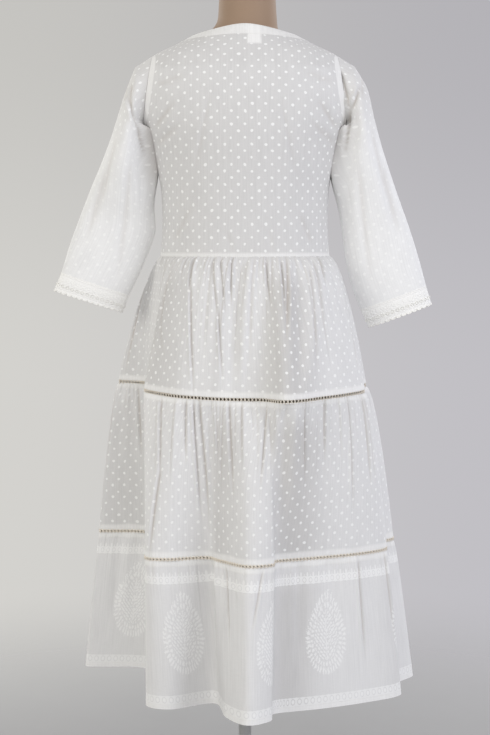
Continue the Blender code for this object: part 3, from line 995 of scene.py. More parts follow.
    def shade_strip_marks(self) -> Array:
        """Mark the strips of painted shade, where the shaded inside shows through.

        Returns:
            The strength at each point, from 0 to 1.
        """
        fall, column = self.fall(), self.column()
        marks = np.zeros((self.rows, self.columns))
        for hollow in self.shade_strips:
            away = (column - hollow.column + ROUND / 2) % ROUND - ROUND / 2
            across = np.exp(-((away / hollow.reach) ** 2))
            marks = np.maximum(marks, hollow.strength * across * eased(fall, 0.0, 0.25))
        return marks

    def small_gathers(self) -> list[Crease]:
        """Spread the small gathers under the top seam with a fixed seed.

        Returns:
            The gathers, as creases.
        """
        rng = np.random.default_rng(self.seed)
        made = []
        for i in range(self.fine):
            column = ROUND * (i + rng.uniform(-0.35, 0.35)) / self.fine
            length = (0.10 + 0.75 * rng.uniform() ** 2.2) * self.slack
            depth = rng.uniform(0.0004, 0.0013) * (1 + 0.5 * (length > 0.5)) * self.slack
            drift = rng.uniform(-0.5, 0.5) * length
            width = rng.uniform(0.0013, 0.0027)
            lean = 1 if rng.uniform() < 0.5 else -1
            made.append(Crease(column, 0.0, column + drift, length, depth, width, lean))
        return made


@dataclass
class FormShape:
    """The limbless dress form.

    Attributes:
        clearance: Space between its shoulders and the cloth.
        front_ease: What is added to it at the front.
        neck_shift: How far the neck stands to the wearer's right.
        columns: Columns of points round it.
        rows: Rows of points from its foot to its top.
    """

    clearance: float = 0.0042
    front_ease: float = 0.0035
    neck_shift: float = 0.004
    columns: int = 128
    rows: int = 120

    def rings(self) -> Array:
        """Draw the form's outline in a few exact rings.

        Returns:
            The rings' points, from its foot up.
        """
        turn = 2 * np.pi * np.arange(self.columns) / self.columns
        torso, body, neck = BodyShape(TORSO), BodyShape(BODICE), BodyShape(NECK)
        rings = [torso.points(turn, row.z) for row in TORSO]
        heights = np.array([row.z for row in BODICE[-4:]])
        shoulders = ClothGrid(body.points(turn[None], heights[:, None]), np.zeros((1, 2)), closed=True)
        ease = self.clearance + self.front_ease * np.maximum(0.0, np.sin(turn))
        rings += list(shoulders.points - shoulders.normals() * ease[None, :, None])
        shift = np.array([self.neck_shift, 0.0, 0.0])
        rings += [neck.points(turn, row.z) + shift for row in NECK]
        return np.stack(rings)

    def build(self, material: Finish) -> Piece:
        """Make the form as a closed smooth solid.

        Args:
            material: Its finish.

        Returns:
            The new object.
        """
        rings = self.rings()
        steps = np.linalg.norm(np.diff(rings, axis=0), axis=-1).mean(axis=1)
        marks = np.concatenate([[0.0], np.cumsum(steps)])
        place = np.linspace(0.0, marks[-1], self.rows)
        columns = [SmoothCurve(marks, rings[:, c, k])(place) for c in range(self.columns) for k in range(3)]
        points = np.stack(columns, axis=-1).reshape(self.rows, self.columns, 3)
        foot, top = points[0].mean(axis=0), points[-1].mean(axis=0)
        inset = [mixed(foot, points[0], share) for share in (0.02, 0.6, 0.97)]
        cap = [mixed(top, points[-1], share) for share in (0.97, 0.6, 0.02)]
        points = np.concatenate([np.stack(inset), points, np.stack(cap)])
        at = wrapped(np.arange(len(points) * self.columns).reshape(-1, self.columns))
        quads = np.stack([at[:-1, :-1], at[:-1, 1:], at[1:, 1:], at[1:, :-1]], axis=-1).reshape(-1, 4)
        return make_mesh("dress_form", points.reshape(-1, 3), quads, material)


TIER_1_CREASES = (
    Crease(59.9, 0.0, 60.5, 0.17, 0.0022, 0.0016, -1),
    Crease(61.3, 0.0, 62.0, 0.28, 0.0037, 0.0021, -1),
    Crease(62.0, 0.20, 64.5, 1.0, 0.0033, 0.0022, -1),
    Crease(65.1, 0.0, 67.2, 0.45, 0.0026, 0.0019, 1),
    Crease(67.2, 0.38, 69.3, 0.90, 0.0026, 0.0019, -1),
    Crease(66.4, 0.0, 68.9, 0.42, 0.0024, 0.0017, 1),
    Crease(68.5, 0.0, 69.6, 0.34, 0.0029, 0.0017, 1),
    Crease(70.0, 0.02, 70.6, 1.0, 0.0065, 0.0110, 1),
    Crease(74.3, 0.0, 75.3, 0.38, 0.0029, 0.0020, -1),
    Crease(76.9, 0.02, 77.1, 0.42, 0.0029, 0.0021, -1),
    Crease(77.9, 0.0, 77.0, 0.60, 0.0030, 0.0031, 1),
    Crease(79.4, 0.04, 78.2, 1.0, 0.0060, 0.0120, 1),
    Crease(85.5, 0.0, 84.7, 0.20, 0.0024, 0.0017, 1),
    Crease(58.1, 0.32, 59.2, 0.70, 0.0026, 0.0020, 1),
    Crease(57.5, 0.02, 60.5, 0.80, 0.0020, 0.0028, -1),
    Crease(81.6, 0.08, 80.3, 0.80, 0.0022, 0.0037, -1),
    Crease(83.4, 0.02, 82.6, 0.50, 0.0019, 0.0028, 1),
    Crease(54.0, 0.0, 55.5, 0.50, 0.0023, 0.0031, 1),
    Crease(89.0, 0.05, 88.0, 0.90, 0.0022, 0.0037, -1),
    # The front hangs in the same way
    Crease(6.0, 0.0, 7.2, 0.80, 0.0029, 0.0022, 1),
    Crease(11.5, 0.0, 10.2, 0.35, 0.0024, 0.0019, -1),
    Crease(15.2, 0.0, 16.4, 0.95, 0.0036, 0.0030, -1),
    Crease(19.8, 0.0, 19.0, 0.45, 0.0027, 0.0020, 1),
    Crease(24.3, 0.0, 24.9, 1.0, 0.0058, 0.0090, 1),
    Crease(28.6, 0.0, 27.7, 0.40, 0.0026, 0.0019, -1),
    Crease(32.1, 0.0, 33.5, 0.70, 0.0030, 0.0025, 1),
    Crease(37.4, 0.0, 36.2, 0.50, 0.0026, 0.0021, -1),
    Crease(42.2, 0.05, 42.9, 0.95, 0.0030, 0.0037, 1),
)
# Strips of painted shade on each tier, for the shaded inside seen through the cloth
TIER_1_SHADE_STRIPS = (
    ShadeStrip(59.0, 2.6, 0.8),
    ShadeStrip(77.6, 2.6, 1.0),
    ShadeStrip(67.6, 1.0, 0.4),
    ShadeStrip(44.0, 3.0, 0.5),
    ShadeStrip(8.0, 3.0, 0.7),
    ShadeStrip(24.0, 3.2, 0.9),
    ShadeStrip(37.0, 2.4, 0.6),
)
TIER_2_SHADE_STRIPS = (
    ShadeStrip(69.2, 2.2, 0.7),
    ShadeStrip(78.0, 2.8, 1.0),
    ShadeStrip(43.7, 3.5, 0.6),
    ShadeStrip(9.0, 3.0, 0.8),
    ShadeStrip(20.0, 2.4, 0.7),
    ShadeStrip(32.0, 3.2, 0.9),
)
TIER_3_SHADE_STRIPS = (
    ShadeStrip(67.3, 1.6, 0.3),
    ShadeStrip(77.8, 2.4, 0.9),
    ShadeStrip(90.0, 2.4, 0.5),
    ShadeStrip(11.0, 3.0, 0.7),
    ShadeStrip(28.0, 3.0, 0.8),
)
TIER_2_CREASES = (
    Crease(60.5, 0.0, 60.8, 0.52, 0.0036, 0.0022, -1),
    Crease(60.8, 0.45, 59.9, 1.0, 0.0029, 0.0031, -1),
    Crease(63.3, 0.0, 63.5, 0.40, 0.0026, 0.0019, 1),
    Crease(64.4, 0.0, 65.3, 0.78, 0.0031, 0.0021, -1),
    Crease(65.2, 0.0, 66.1, 0.80, 0.0032, 0.0021, 1),
    Crease(70.4, 0.0, 71.2, 0.60, 0.0032, 0.0026, -1),
    Crease(74.9, 0.0, 73.5, 0.55, 0.0027, 0.0021, 1),
    Crease(78.8, 0.0, 78.9, 0.55, 0.0027, 0.0021, -1),
    Crease(81.2, 0.0, 81.2, 0.38, 0.0024, 0.0019, 1),
    Crease(85.1, 0.0, 84.4, 0.72, 0.0032, 0.0026, -1),
    Crease(61.7, 0.0, 61.7, 0.50, 0.0015, 0.0019, 1),
    Crease(71.9, 0.0, 72.0, 0.40, 0.0022, 0.0021, 1),
    Crease(76.8, 0.02, 76.8, 0.80, 0.0042, 0.0100, 1),
    Crease(68.0, 0.0, 68.9, 0.36, 0.0014, 0.0019, -1),
    Crease(87.6, 0.0, 87.0, 0.60, 0.0024, 0.0031, 1),
    Crease(91.4, 0.0, 91.0, 0.45, 0.0024, 0.0025, -1),
    Crease(4.5, 0.0, 5.0, 0.55, 0.0029, 0.0022, 1),
    Crease(9.7, 0.0, 9.1, 0.85, 0.0033, 0.0037, -1),
    Crease(14.1, 0.0, 14.9, 0.40, 0.0027, 0.0020, 1),
    Crease(20.6, 0.0, 20.0, 0.70, 0.0035, 0.0027, -1),
    Crease(26.3, 0.0, 26.8, 0.50, 0.0029, 0.0021, 1),
    Crease(30.8, 0.0, 30.4, 0.90, 0.0050, 0.0080, 1),
    Crease(35.5, 0.0, 36.4, 0.45, 0.0029, 0.0020, -1),
    Crease(40.7, 0.0, 40.1, 0.62, 0.0030, 0.0025, 1),
    Crease(46.0, 0.0, 46.3, 0.50, 0.0026, 0.0025, -1),
    Crease(51.5, 0.0, 51.2, 0.55, 0.0026, 0.0025, 1),
)
TIER_3_CREASES = (
    Crease(70.35, 0.02, 70.5, 0.50, 0.0037, 0.0021, -1),
    Crease(73.7, 0.02, 72.7, 0.42, 0.0024, 0.0021, 1),
    Crease(84.7, 0.02, 85.1, 0.70, 0.0033, 0.0031, -1),
    Crease(66.3, 0.0, 65.9, 1.0, 0.0050, 0.0120, 1),
    Crease(78.4, 0.0, 78.8, 0.70, 0.0030, 0.0100, -1),
    Crease(43.7, 0.0, 43.6, 0.70, 0.0040, 0.0100, 1),
    Crease(88.2, 0.0, 88.6, 0.60, 0.0024, 0.0037, 1),
    Crease(5.2, 0.0, 5.6, 0.60, 0.0032, 0.0037, -1),
    Crease(12.8, 0.0, 12.3, 0.45, 0.0027, 0.0027, 1),
    Crease(20.1, 0.0, 20.4, 0.90, 0.0048, 0.0090, 1),
    Crease(27.2, 0.0, 26.9, 0.50, 0.0029, 0.0025, -1),
    Crease(34.6, 0.0, 35.1, 0.65, 0.0030, 0.0032, 1),
    Crease(39.8, 0.0, 39.4, 0.42, 0.0026, 0.0025, -1),
    Crease(49.0, 0.0, 49.2, 0.70, 0.0034, 0.0070, 1),
)
TIERS = (
    Tier(
        "tier_1", level=0, top_z=WAIST_Z, bottom_z=SEAM_1_Z, flare=0.58, gather=0.0016, waves=48,
        creases=TIER_1_CREASES, fine=112, seed=11, shade_strips=TIER_1_SHADE_STRIPS,
    ),
    Tier(
        "tier_2", level=1, top_z=SEAM_1_Z, bottom_z=SEAM_2_Z, flare=0.62, gather=0.0015, waves=48,
        creases=TIER_2_CREASES, fine=132, seed=23, shade_strips=TIER_2_SHADE_STRIPS, slack=0.75,
    ),
    Tier(
        "tier_3", level=2, top_z=SEAM_2_Z, bottom_z=HEM_Z, flare=0.85, gather=0.0022, waves=24,
        creases=TIER_3_CREASES, fine=110, seed=37, shade_strips=TIER_3_SHADE_STRIPS, bunched=0.054, slack=0.55,
    ),
)


class Nodes:
    """A node tree being built."""

    def __init__(self, tree: bpy.types.NodeTree) -> None:
        """Take the tree to add to."""
        self.tree = tree

    def put(self, kind: str, settings: dict[str, Any], inputs: dict[Any, Any], output: Any = 0) -> Any:
        """Add one node.

        Args:
            kind: The node's type.
            settings: Its settings.
            inputs: The value or link of each socket, by name or number.
            output: Which output to return, by name or number.

        Returns:
            The output's socket.
        """
        node = self.tree.nodes.new(kind)
        for key, setting in settings.items():
            setattr(node, key, setting)
        for key, value in inputs.items():
            if isinstance(value, Socket):
                self.tree.links.new(value, node.inputs[key])
            else:
                node.inputs[key].default_value = value
        return node.outputs[output]


class Value:
    """A value inside a material, which adds its nodes when it is used in an expression."""

    def __init__(self, shader: "Shader", socket: Socket) -> None:
        """Wrap an output socket of a material."""
        self.shader = shader
        self.socket = socket

    def __add__(self, other: Number) -> "Value":
        """Return the sum."""
        return self.shader.math("ADD", self, other)

    def __sub__(self, other: Number) -> "Value":
        """Return the difference."""
        return self.shader.math("SUBTRACT", self, other)

    def __mul__(self, other: Number) -> "Value":
        """Return the product."""
        return self.shader.math("MULTIPLY", self, other)

    def __truediv__(self, other: Number) -> "Value":
        """Return the quotient."""
        return self.shader.math("DIVIDE", self, other)

    def __pow__(self, other: Number) -> "Value":
        """Return the power."""
        return self.shader.math("POWER", self, other)

    def __radd__(self, other: Number) -> "Value":
        """Return the sum with a plain number first."""
        return self.shader.math("ADD", other, self)

    def __rsub__(self, other: Number) -> "Value":
        """Return the difference from a plain number."""
        return self.shader.math("SUBTRACT", other, self)

    def size(self) -> "Value":
        """Return the value without its sign."""
        return self.shader.math("ABSOLUTE", self)

    def sine(self) -> "Value":
        """Return the sine."""
        return self.shader.math("SINE", self)

    def root(self) -> "Value":
        """Return the square root."""
        return self.shader.math("SQRT", self)

    def part(self) -> "Value":
        """Return what lies past the whole number below."""
        return self.shader.math("FRACT", self)

    def whole(self) -> "Value":
        """Return the whole number below."""
        return self.shader.math("FLOOR", self)

    def most(self, other: Number) -> "Value":
        """Return the greater of two values."""
        return self.shader.math("MAXIMUM", self, other)

    def least(self, other: Number) -> "Value":
        """Return the smaller of two values."""
        return self.shader.math("MINIMUM", self, other)

    def within(self, low: float, high: float) -> "Value":
        """Return a smooth step.

        Args:
            low: Where it starts at 0.
            high: Where it ends at 1, which may be below low.

        Returns:
            The step's height.
        """
        if low > high:
            return 1.0 - self.within(high, low)
        inputs = {"Value": self, "From Min": low, "From Max": high}
        return self.shader.add("ShaderNodeMapRange", {"interpolation_type": "SMOOTHSTEP"}, inputs)

    def band(self, low: float, high: float, soft: float) -> "Value":
        """Return 1 between two values and 0 outside them, with soft ends."""
        return self.within(low - soft, low + soft) * self.within(high + soft, high - soft)


class Shader(Nodes):
    """A material being built round one Principled shader."""

    def __init__(self, name: str, roughness: float = 0.85, sheen: float = 0.0, metallic: float = 0.0) -> None:
        """Start the material.

        Args:
            name: Its name.
            roughness: The shader's own roughness.
            sheen: The weight of its cloth sheen.
            metallic: 1 for bare metal.
        """
        self.material = bpy.data.materials.new(name)
        self.material.use_nodes = True
        super().__init__(self.material.node_tree)
        self.surface = self.tree.nodes["Principled BSDF"]
        own = {"Roughness": roughness, "Sheen Weight": sheen, "Sheen Roughness": 0.5, "Metallic": metallic}
        for key, value in own.items():
            self.surface.inputs[key].default_value = value

    def add(self, kind: str, settings: dict[str, Any], inputs: dict[Any, Number], output: Any = 0) -> Value:
        """Add one node as put does, and return its output's value."""
        plain = {key: value.socket if isinstance(value, Value) else value for key, value in inputs.items()}
        return Value(self, self.put(kind, settings, plain, output))

    def math(self, operation: str, *values: Number) -> Value:
        """Add a Math node."""
        return self.add("ShaderNodeMath", {"operation": operation}, dict(enumerate(values)))

    def mix(self, share: Number, start: Any, end: Any) -> Value:
        """Return the colour that lies a share of the way from start to end."""
        colours = {n: (*c, 1.0) if isinstance(c, tuple) else c for n, c in ((6, start), (7, end))}
        return self.add("ShaderNodeMix", {"data_type": "RGBA"}, {0: share, **colours}, 2)

    def scaled(self, colour: Value, share: Value) -> Value:
        """Return a colour made darker or lighter."""
        return self.add("ShaderNodeVectorMath", {"operation": "SCALE"}, {0: colour, "Scale": share})

    def flat(self) -> tuple[Value, Value]:
        """Return how far a point lies across and along the flat cloth."""
        place = self.add("ShaderNodeUVMap", {"uv_map": "cloth"}, {})
        return self.split(place)[:2]

    def solid(self) -> tuple[Value, Value, Value]:
        """Return a point's X, Y and Z on the object."""
        return self.split(self.add("ShaderNodeTexCoord", {}, {}, "Object"))

    def split(self, vector: Value) -> tuple[Value, Value, Value]:
        """Return a vector's three numbers."""
        first = self.add("ShaderNodeSeparateXYZ", {}, {0: vector})
        return tuple(Value(self, socket) for socket in first.socket.node.outputs)

    def join(self, x: Number, y: Number, z: Number = 0.0) -> Value:
        """Return a vector of three numbers."""
        return self.add("ShaderNodeCombineXYZ", {}, {0: x, 1: y, 2: z})

    def mark(self, name: str) -> Value:
        """Return a value stored on the mesh."""
        return self.add("ShaderNodeAttribute", {"attribute_name": name}, {}, "Fac")

    def noise(self, place: Value, scale: float, detail: float = 2.0, roughness: float = 0.5) -> Value:
        """Return smooth noise from 0 to 1."""
        inputs = {"Vector": place, "Scale": scale, "Detail": detail, "Roughness": roughness}
        return self.add("ShaderNodeTexNoise", {"noise_dimensions": "3D"}, inputs)

    def relief(self, height: Value) -> None:
        """Raise the surface by a height in metres, as bump."""
        bump = self.add("ShaderNodeBump", {}, {"Strength": 1.0, "Distance": 1.0, "Height": height})
        self.tree.links.new(bump.socket, self.surface.inputs["Normal"])

    def paint(self, colour: Value) -> None:
        """Set the base colour."""
        self.tree.links.new(colour.socket, self.surface.inputs["Base Color"])

    def dull(self, roughness: Value) -> None:
        """Set the roughness."""
        self.tree.links.new(roughness.socket, self.surface.inputs["Roughness"])


class Print(Enum):
    """What is printed on a piece of cotton."""

    PLAIN = "plain"
    DOTS = "dots"
    BORDERS = "borders"


@dataclass(frozen=True)
class Cotton:
    """Thin plain-weave cotton with a white print.

    Attributes:
        name: The material's name.
        ground: The cloth's colour, greyer with painted shade where it hangs over the form and over shaded
            hollows.
        printed: What is printed on it.
        top_band: How far from its upper edge the cloth lies double.
        bottom_band: The same from its lower edge.
        height: The flat piece's height.
        crinkle: Depth of the fine crinkles below its gathers.
        white: The print's colour.
        seam_white: The cloth's colour where it lies double.
        painted_shade_scale: How much of each colour is left under full painted shade, where something dark
            shows from behind.
        crease_shade_colour: The painted shade's colour in the depth of a sharp crease.
        warp: Space between the upright threads.
        weft: Space between the level threads.
        dot_pitch: Space between the dots of a row.
        dot_rise: Space between the rows.
        dot_radius: Radius of a dot.
        motif_pitch: Space between the borders' ovals.
        border: Where the upper border's strip starts and ends, from the tier's top.
        hem_border: How far above the hem the lower border's ovals lie.
        paisley_pitch: Space between the paisleys.
        paisley_row: How far below the tier's top their widest part lies.
        paisley_size: A paisley's half width and half height.
        leaf_size: The space that each of its leaves has, across and along.
    """

    name: str
    ground: Colour = (0.725, 0.722, 0.718)
    printed: Print = Print.DOTS
    top_band: float = 0.0
    bottom_band: float = 0.0
    height: float = 1.0
    crinkle: float = 0.00025
    white: Colour = (0.90, 0.90, 0.89)
    seam_white: Colour = (0.87, 0.865, 0.85)
    painted_shade_scale: Colour = (0.81, 0.80, 0.79)
    crease_shade_colour: Colour = (0.44, 0.385, 0.33)
    warp: float = 0.0005
    weft: float = 0.00055
    dot_pitch: float = 0.0225
    dot_rise: float = 0.0109
    dot_radius: float = 0.0023
    motif_pitch: float = 0.0117
    border: tuple[float, float] = (0.0268, 0.0392)
    hem_border: float = 0.0150
    paisley_pitch: float = 0.1845
    paisley_row: float = 0.1320
    paisley_size: tuple[float, float] = (0.0385, 0.0600)
    leaf_size: tuple[float, float] = (0.0048, 0.0076)

    def material(self) -> Finish:
        """Build the material.

        Returns:
            The finish.
        """
        sh = Shader(self.name, roughness=0.9, sheen=0.15)
        u, v = sh.flat()
        place = sh.join(u, v)
        threads = self.threads(u, v)
        streak = sh.noise(sh.join(u * 420.0, v * 14.0), 1.0, 3.0, 0.55)
        slub = sh.noise(sh.join(u * 90.0, v * 1300.0), 1.0, 2.0)
        cloud = sh.noise(place, 26.0, 2.0)
        doubled = sh.mark("doubled")
        frayed = (cloud - 0.5) * 0.006
        if self.top_band:
            doubled = doubled.most((v + frayed).within(self.top_band + 0.0030, self.top_band - 0.0030))
        if self.bottom_band:
            edge = self.height - self.bottom_band
            doubled = doubled.most((v + frayed).within(edge - 0.0030, edge + 0.0030))
        ink = self.ink(sh, u, v)
        # Painted shade: the ground turns towards a darker copy of itself where the form and the shaded inside
        # show through the thin cloth, and in the recess under the arm
        dark = tuple(c * k for c, k in zip(self.ground, self.painted_shade_scale))
        ground = sh.mix(sh.mark("near"), self.ground, dark)
        shade = streak * 0.20 + cloud * 0.06 + slub * 0.10 + 0.82
        ground = sh.mix(doubled * 0.72, ground, self.seam_white)
        ground = sh.scaled(ground, shade)
        cloth = sh.mix(ink * (1.0 - doubled * 0.75), ground, self.white)
        # Painted shade: the colour turns towards the crease shade along each crease's line
        sh.paint(sh.mix(sh.mark("crease") * 0.52, cloth, self.crease_shade_colour))
        sh.dull(0.93 - ink * 0.12)
        gathers = v.within(0.11, 0.0) if self.top_band else cloud
        ridges = sh.noise(sh.join(u * 300.0, v * 9.0), 1.0, 2.0, 0.4)
        ripples = ridges * (gathers * 0.8 + 0.2) * self.crinkle * 4.0
        sh.relief(ripples + threads * 0.00003 + ink * 0.00006 + doubled * 0.00025)
        return sh.material

    def threads(self, u: Value, v: Value) -> Value:
        """Return the weave's height from 0 to 1."""
        waves = [(place * (2 * math.pi / pitch)).sine() for place, pitch in ((u, self.warp), (v, self.weft))]
        return waves[0] * waves[1] * 0.5 + 0.5

    def ink(self, sh: Shader, u: Value, v: Value) -> Value:
        """Lay the white print.

        Args:
            sh: The material.
            u: Metres across the cloth.
            v: Metres down it.

        Returns:
            The ink's strength, from 0 to 1.
        """
        if self.printed is Print.PLAIN:
            return sh.mark("printed")
        if self.printed is Print.DOTS:
            return self.dots(sh, u, v)
        return self.borders(sh, u, v).least(1.0) * 0.88

    def dots(self, sh: Shader, u: Value, v: Value) -> Value:
        """Lay staggered dots with the slight wander of block print.

        Args:
            sh: The material.
            u: Metres across the cloth.
            v: Metres down it.

        Returns:
            The ink's strength, from 0 to 1.
        """
        wander = sh.noise(sh.join(u, v), 70.0, 1.0) - 0.5
        drift = sh.noise(sh.join(u, v, 3.0), 45.0, 1.0) - 0.5
        u, v = u + wander * 0.0052, v + drift * 0.0052
        high = 2 * self.dot_rise
        spots = None
        for shift in (0.0, 0.5):
            x = ((u / self.dot_pitch + shift).part() - 0.5) * self.dot_pitch
            y = ((v / high + shift).part() - 0.5) * high
            away = (x * x + y * y).root() + wander * 0.0018
            spot = away.within(self.dot_radius * 1.25, self.dot_radius * 0.75)
            spots = spot if spots is None else spots.most(spot)
        return spots * 0.92

    def oval(self, x: Value, y: Value, wide: float, high: float) -> Value:
        """Return how far out a point lies in an oval, 1 on its edge."""
        x, y = x / wide, y / high
        return (x * x + y * y).root()

    def row_places(self, u: Value) -> tuple[Value, Value]:
        """Return a point's place across the nearest motif, and across the nearest gap."""
        pitch = self.motif_pitch
        return ((u / pitch).part() - 0.5) * pitch, ((u / pitch + 0.5).part() - 0.5) * pitch

    def borders(self, sh: Shader, u: Value, v: Value) -> Value:
        """Lay the upper border, the paisleys and the hem border.

        Args:
            sh: The material.
            u: Metres across the cloth.
            v: Metres down it.

        Returns:
            The ink's strength, from 0 to 1.
        """
        x, gap = self.row_places(u)
        scallop = (u * (math.pi / self.motif_pitch)).sine().size() * 0.0012
        strip = (v + scallop).band(*self.border, 0.0006)
        ring = self.oval(x, v - 0.0322, 0.0038, 0.0047)
        strip = strip * (1.0 - ring.band(0.66, 0.98, 0.07) * 0.85)
        drops = self.oval(gap, v - 0.0236, 0.0017, 0.0048).within(1.15, 0.80)
        points = self.oval(x, v - 0.0252, 0.0011, 0.0034).within(1.2, 0.7)
        hem = v - (self.height - self.hem_border)
        band = (hem - scallop * 0.6).within(-0.0086, -0.0074)
        oval = self.oval(x, hem + 0.0005, 0.0041, 0.0056)
        band = band * (0.84 - oval.band(0.68, 0.98, 0.07) * 0.72) + oval.within(0.62, 0.30) * 0.16
        top = strip.most(drops * 0.9).most(points * 0.7)
        return top.most(band).most(self.paisley(sh, u, v))

    def paisley(self, sh: Shader, u: Value, v: Value) -> Value:
        """Lay a row of pointed eggs, each a fern of small leaves in a fringe of strokes.

        Args:
            sh: The material.
            u: Metres across the cloth.
            v: Metres down it.

        Returns:
            The ink's strength, from 0 to 1.
        """
        x = ((u / self.paisley_pitch + 0.5).part() - 0.5) * self.paisley_pitch
        y = self.paisley_row - v
        up = y.most(0.0)
        wander = sh.noise(sh.join(u, v), 240.0, 1.0) - 0.5
        bend = sh.noise(sh.join(u, v, 5.0), 95.0, 2.0) - 0.5
        x, y = x - up * up * 0.8 + bend * 0.009, y + wander * 0.005
        wide, high = x / self.paisley_size[0], y / self.paisley_size[1]
        away = (wide * wide + high * high).root()
        reach = away / (((high / away + 1.0) * 0.5) ** 20 * 0.30 + 1.0)
        turn = sh.math("ARCTAN2", wide, high) / (2 * math.pi) + (wander + bend) * 0.012
        strokes = ((turn * 44.0).part() - 0.5).size().within(0.38, 0.14)
        fringe = strokes * (reach + wander * 0.24).band(0.82, 1.01, 0.035)
        inner = ((turn * 33.0).part() - 0.5).size().within(0.40, 0.18)
        fringe = fringe.most(inner * (reach - wander * 0.08).band(0.66, 0.78, 0.03))
        side = x.size() + (wander + bend) * 0.0046
        rise, slant = side * 0.60 + y * 0.80 + wander * 0.0030, side * 0.80 - y * 0.60
        leaf_wide, leaf_long = self.leaf_size
        row = (slant / leaf_wide).whole()
        along = ((rise / leaf_long + row * 0.5).part() - 0.5) * leaf_long
        across = ((slant / leaf_wide).part() - 0.5) * leaf_wide
        leaves = self.oval(along, across, 0.0035, 0.0018).within(1.10, 0.70) * side.within(0.0010, 0.0020)
        heart = leaves.most(side.within(0.0012, 0.0004)) * reach.within(0.64, 0.58)
        speck = sh.noise(sh.join(u, v), 520.0, 2.0).within(0.28, 0.58)
        return fringe.most(heart) * (speck * 0.45 + 0.62)


@dataclass(frozen=True)
class Thread:
    """Twisted cotton thread.

    Attributes:
        name: The material's name.
        colour: The thread's colour.
        pitch: Length of one twist.
    """

    name: str
    colour: Colour = (0.88, 0.87, 0.84)
    pitch: float = 0.0014

    def material(self) -> Finish:
        """Build the material.

        Returns:
            The finish.
        """
        sh = Shader(self.name, roughness=0.8, sheen=0.2)
        x, y, z = sh.solid()
        twist = ((x + y * 0.8 + z * 1.3) * (2 * math.pi / self.pitch)).sine() * 0.5 + 0.5
        fibre = sh.noise(sh.join(x, y, z), 1800.0, 2.0)
        shadow = tuple(c * 0.86 for c in self.colour)
        sh.paint(sh.mix(twist * 0.5 + fibre * 0.4, shadow, self.colour))
        sh.relief(twist * 0.00008 + fibre * 0.00004)
        return sh.material


@dataclass(frozen=True)
class CuffLace:
    """Cream cotton lace: a close net with raised flowers in three rows between cords.

    Attributes:
        name: The material's name.
        net: The net's colour.
        raised: The flowers' and cords' colour.
    """

    name: str = "cuff_lace"
    net: Colour = (0.93, 0.925, 0.905)
    raised: Colour = (0.95, 0.945, 0.92)

    def material(self) -> Finish:
        """Build the material on places that count scallops round and metres down.

        Returns:
            The finish.
        """
        sh = Shader(self.name, roughness=0.85, sheen=0.2)
        turn, down = sh.flat()
        x = (turn.part() - 0.5) * SCALLOP
        half = ((turn + 0.5).part() - 0.5) * SCALLOP
        petals = None
        for side, level in ((x, 0.0325), (half, RING_ROW), (x, 0.0105)):
            y = down - level
            away = (side * side + y * y).root()
            angle = sh.math("ARCTAN2", side, y)
            bloom = 0.0030 + (angle * 3.0).sine().size() * 0.0011
            flower = (bloom - away).within(-0.0003, 0.0004) * away.within(0.0006, 0.0011)
            petals = flower if petals is None else petals.most(flower)
        cords = down.band(0.0022, 0.0042, 0.0005).most(down.band(0.0262, 0.0274, 0.0004))
        cords = cords.most(down.band(0.0155, 0.0167, 0.0004))
        mesh = ((turn * (2 * math.pi * 7)).sine() * (down * (2 * math.pi / 0.0013)).sine()).size()
        raised = petals.most(cords)
        sh.paint(sh.mix(raised * 0.8 + mesh * 0.2, self.net, self.raised))
        sh.relief(raised * 0.0004 + mesh * 0.00008)
        return sh.material


@dataclass(frozen=True)
class FormCover:
    """The form's smooth tan knit cover.

    Attributes:
        name: The material's name.
        colour: Its main colour.
    """

    name: str = "form_cover"
    colour: Colour = (0.322, 0.219, 0.146)

    def material(self) -> Finish:
        """Build the material.

        Returns:
            The finish.
        """
        sh = Shader(self.name, roughness=0.62, sheen=0.1)
        x, y, z = sh.solid()
        place = sh.join(x, y, z)
        ribs = (z * (2 * math.pi / 0.0009)).sine() * 0.5 + 0.5
        grain = sh.noise(place, 900.0, 3.0)
        cloud = sh.noise(place, 14.0, 3.0)
        light = tuple(c * 1.10 for c in self.colour)
        dark = tuple(c * 0.88 for c in self.colour)
        sh.paint(sh.mix(grain * 0.5 + cloud * 0.5, dark, light))
        sh.dull(0.55 + cloud * 0.2)
        sh.relief(ribs * 0.00003 + grain * 0.00006)
        return sh.material


@dataclass(frozen=True)
class StandPaint:
    """The stand's satin light grey paint, with a fine orange peel and small scuffs.

    Attributes:
        name: The material's name.
        colour: Its main colour.
    """

    name: str = "stand_paint"
    colour: Colour = (0.47, 0.47, 0.465)

    def material(self) -> Finish:
        """Build the material.

        Returns:
            The finish.
        """
        sh = Shader(self.name, roughness=0.45, metallic=0.1)
        place = sh.join(*sh.solid())
        peel = sh.noise(place, 700.0, 2.0)
        scuffs = sh.noise(place, 38.0, 6.0, 0.7).within(0.58, 0.74)
        worn = tuple(c * 0.80 for c in self.colour)
        sh.paint(sh.mix(scuffs * 0.6, self.colour, worn))
        sh.dull(0.42 + scuffs * 0.20 + peel * 0.05)
        sh.relief(peel * 0.00004 - scuffs * 0.00003)
        return sh.material


@dataclass(frozen=True)
class StudioFloor:
    """A pale floor that fades into the background away from the stand.

    Attributes:
        name: The material's name.
        colour: Its main colour.
    """

    name: str = "studio_floor"
    colour: Colour = (0.43, 0.43, 0.43)

    def material(self) -> Finish:
        """Build the material.

        Returns:
            The finish.
        """
        sh = Shader(self.name, roughness=0.9)
        x, y, _ = sh.solid()
        away = (x * x + y * y).root()
        dust = sh.noise(sh.join(x, y), 9.0, 3.0)
        pale = tuple(c * 1.03 for c in self.colour)
        sh.paint(sh.mix(dust, self.colour, pale))
        sh.tree.links.new(away.within(2.2, 0.5).socket, sh.surface.inputs["Alpha"])
        return sh.material


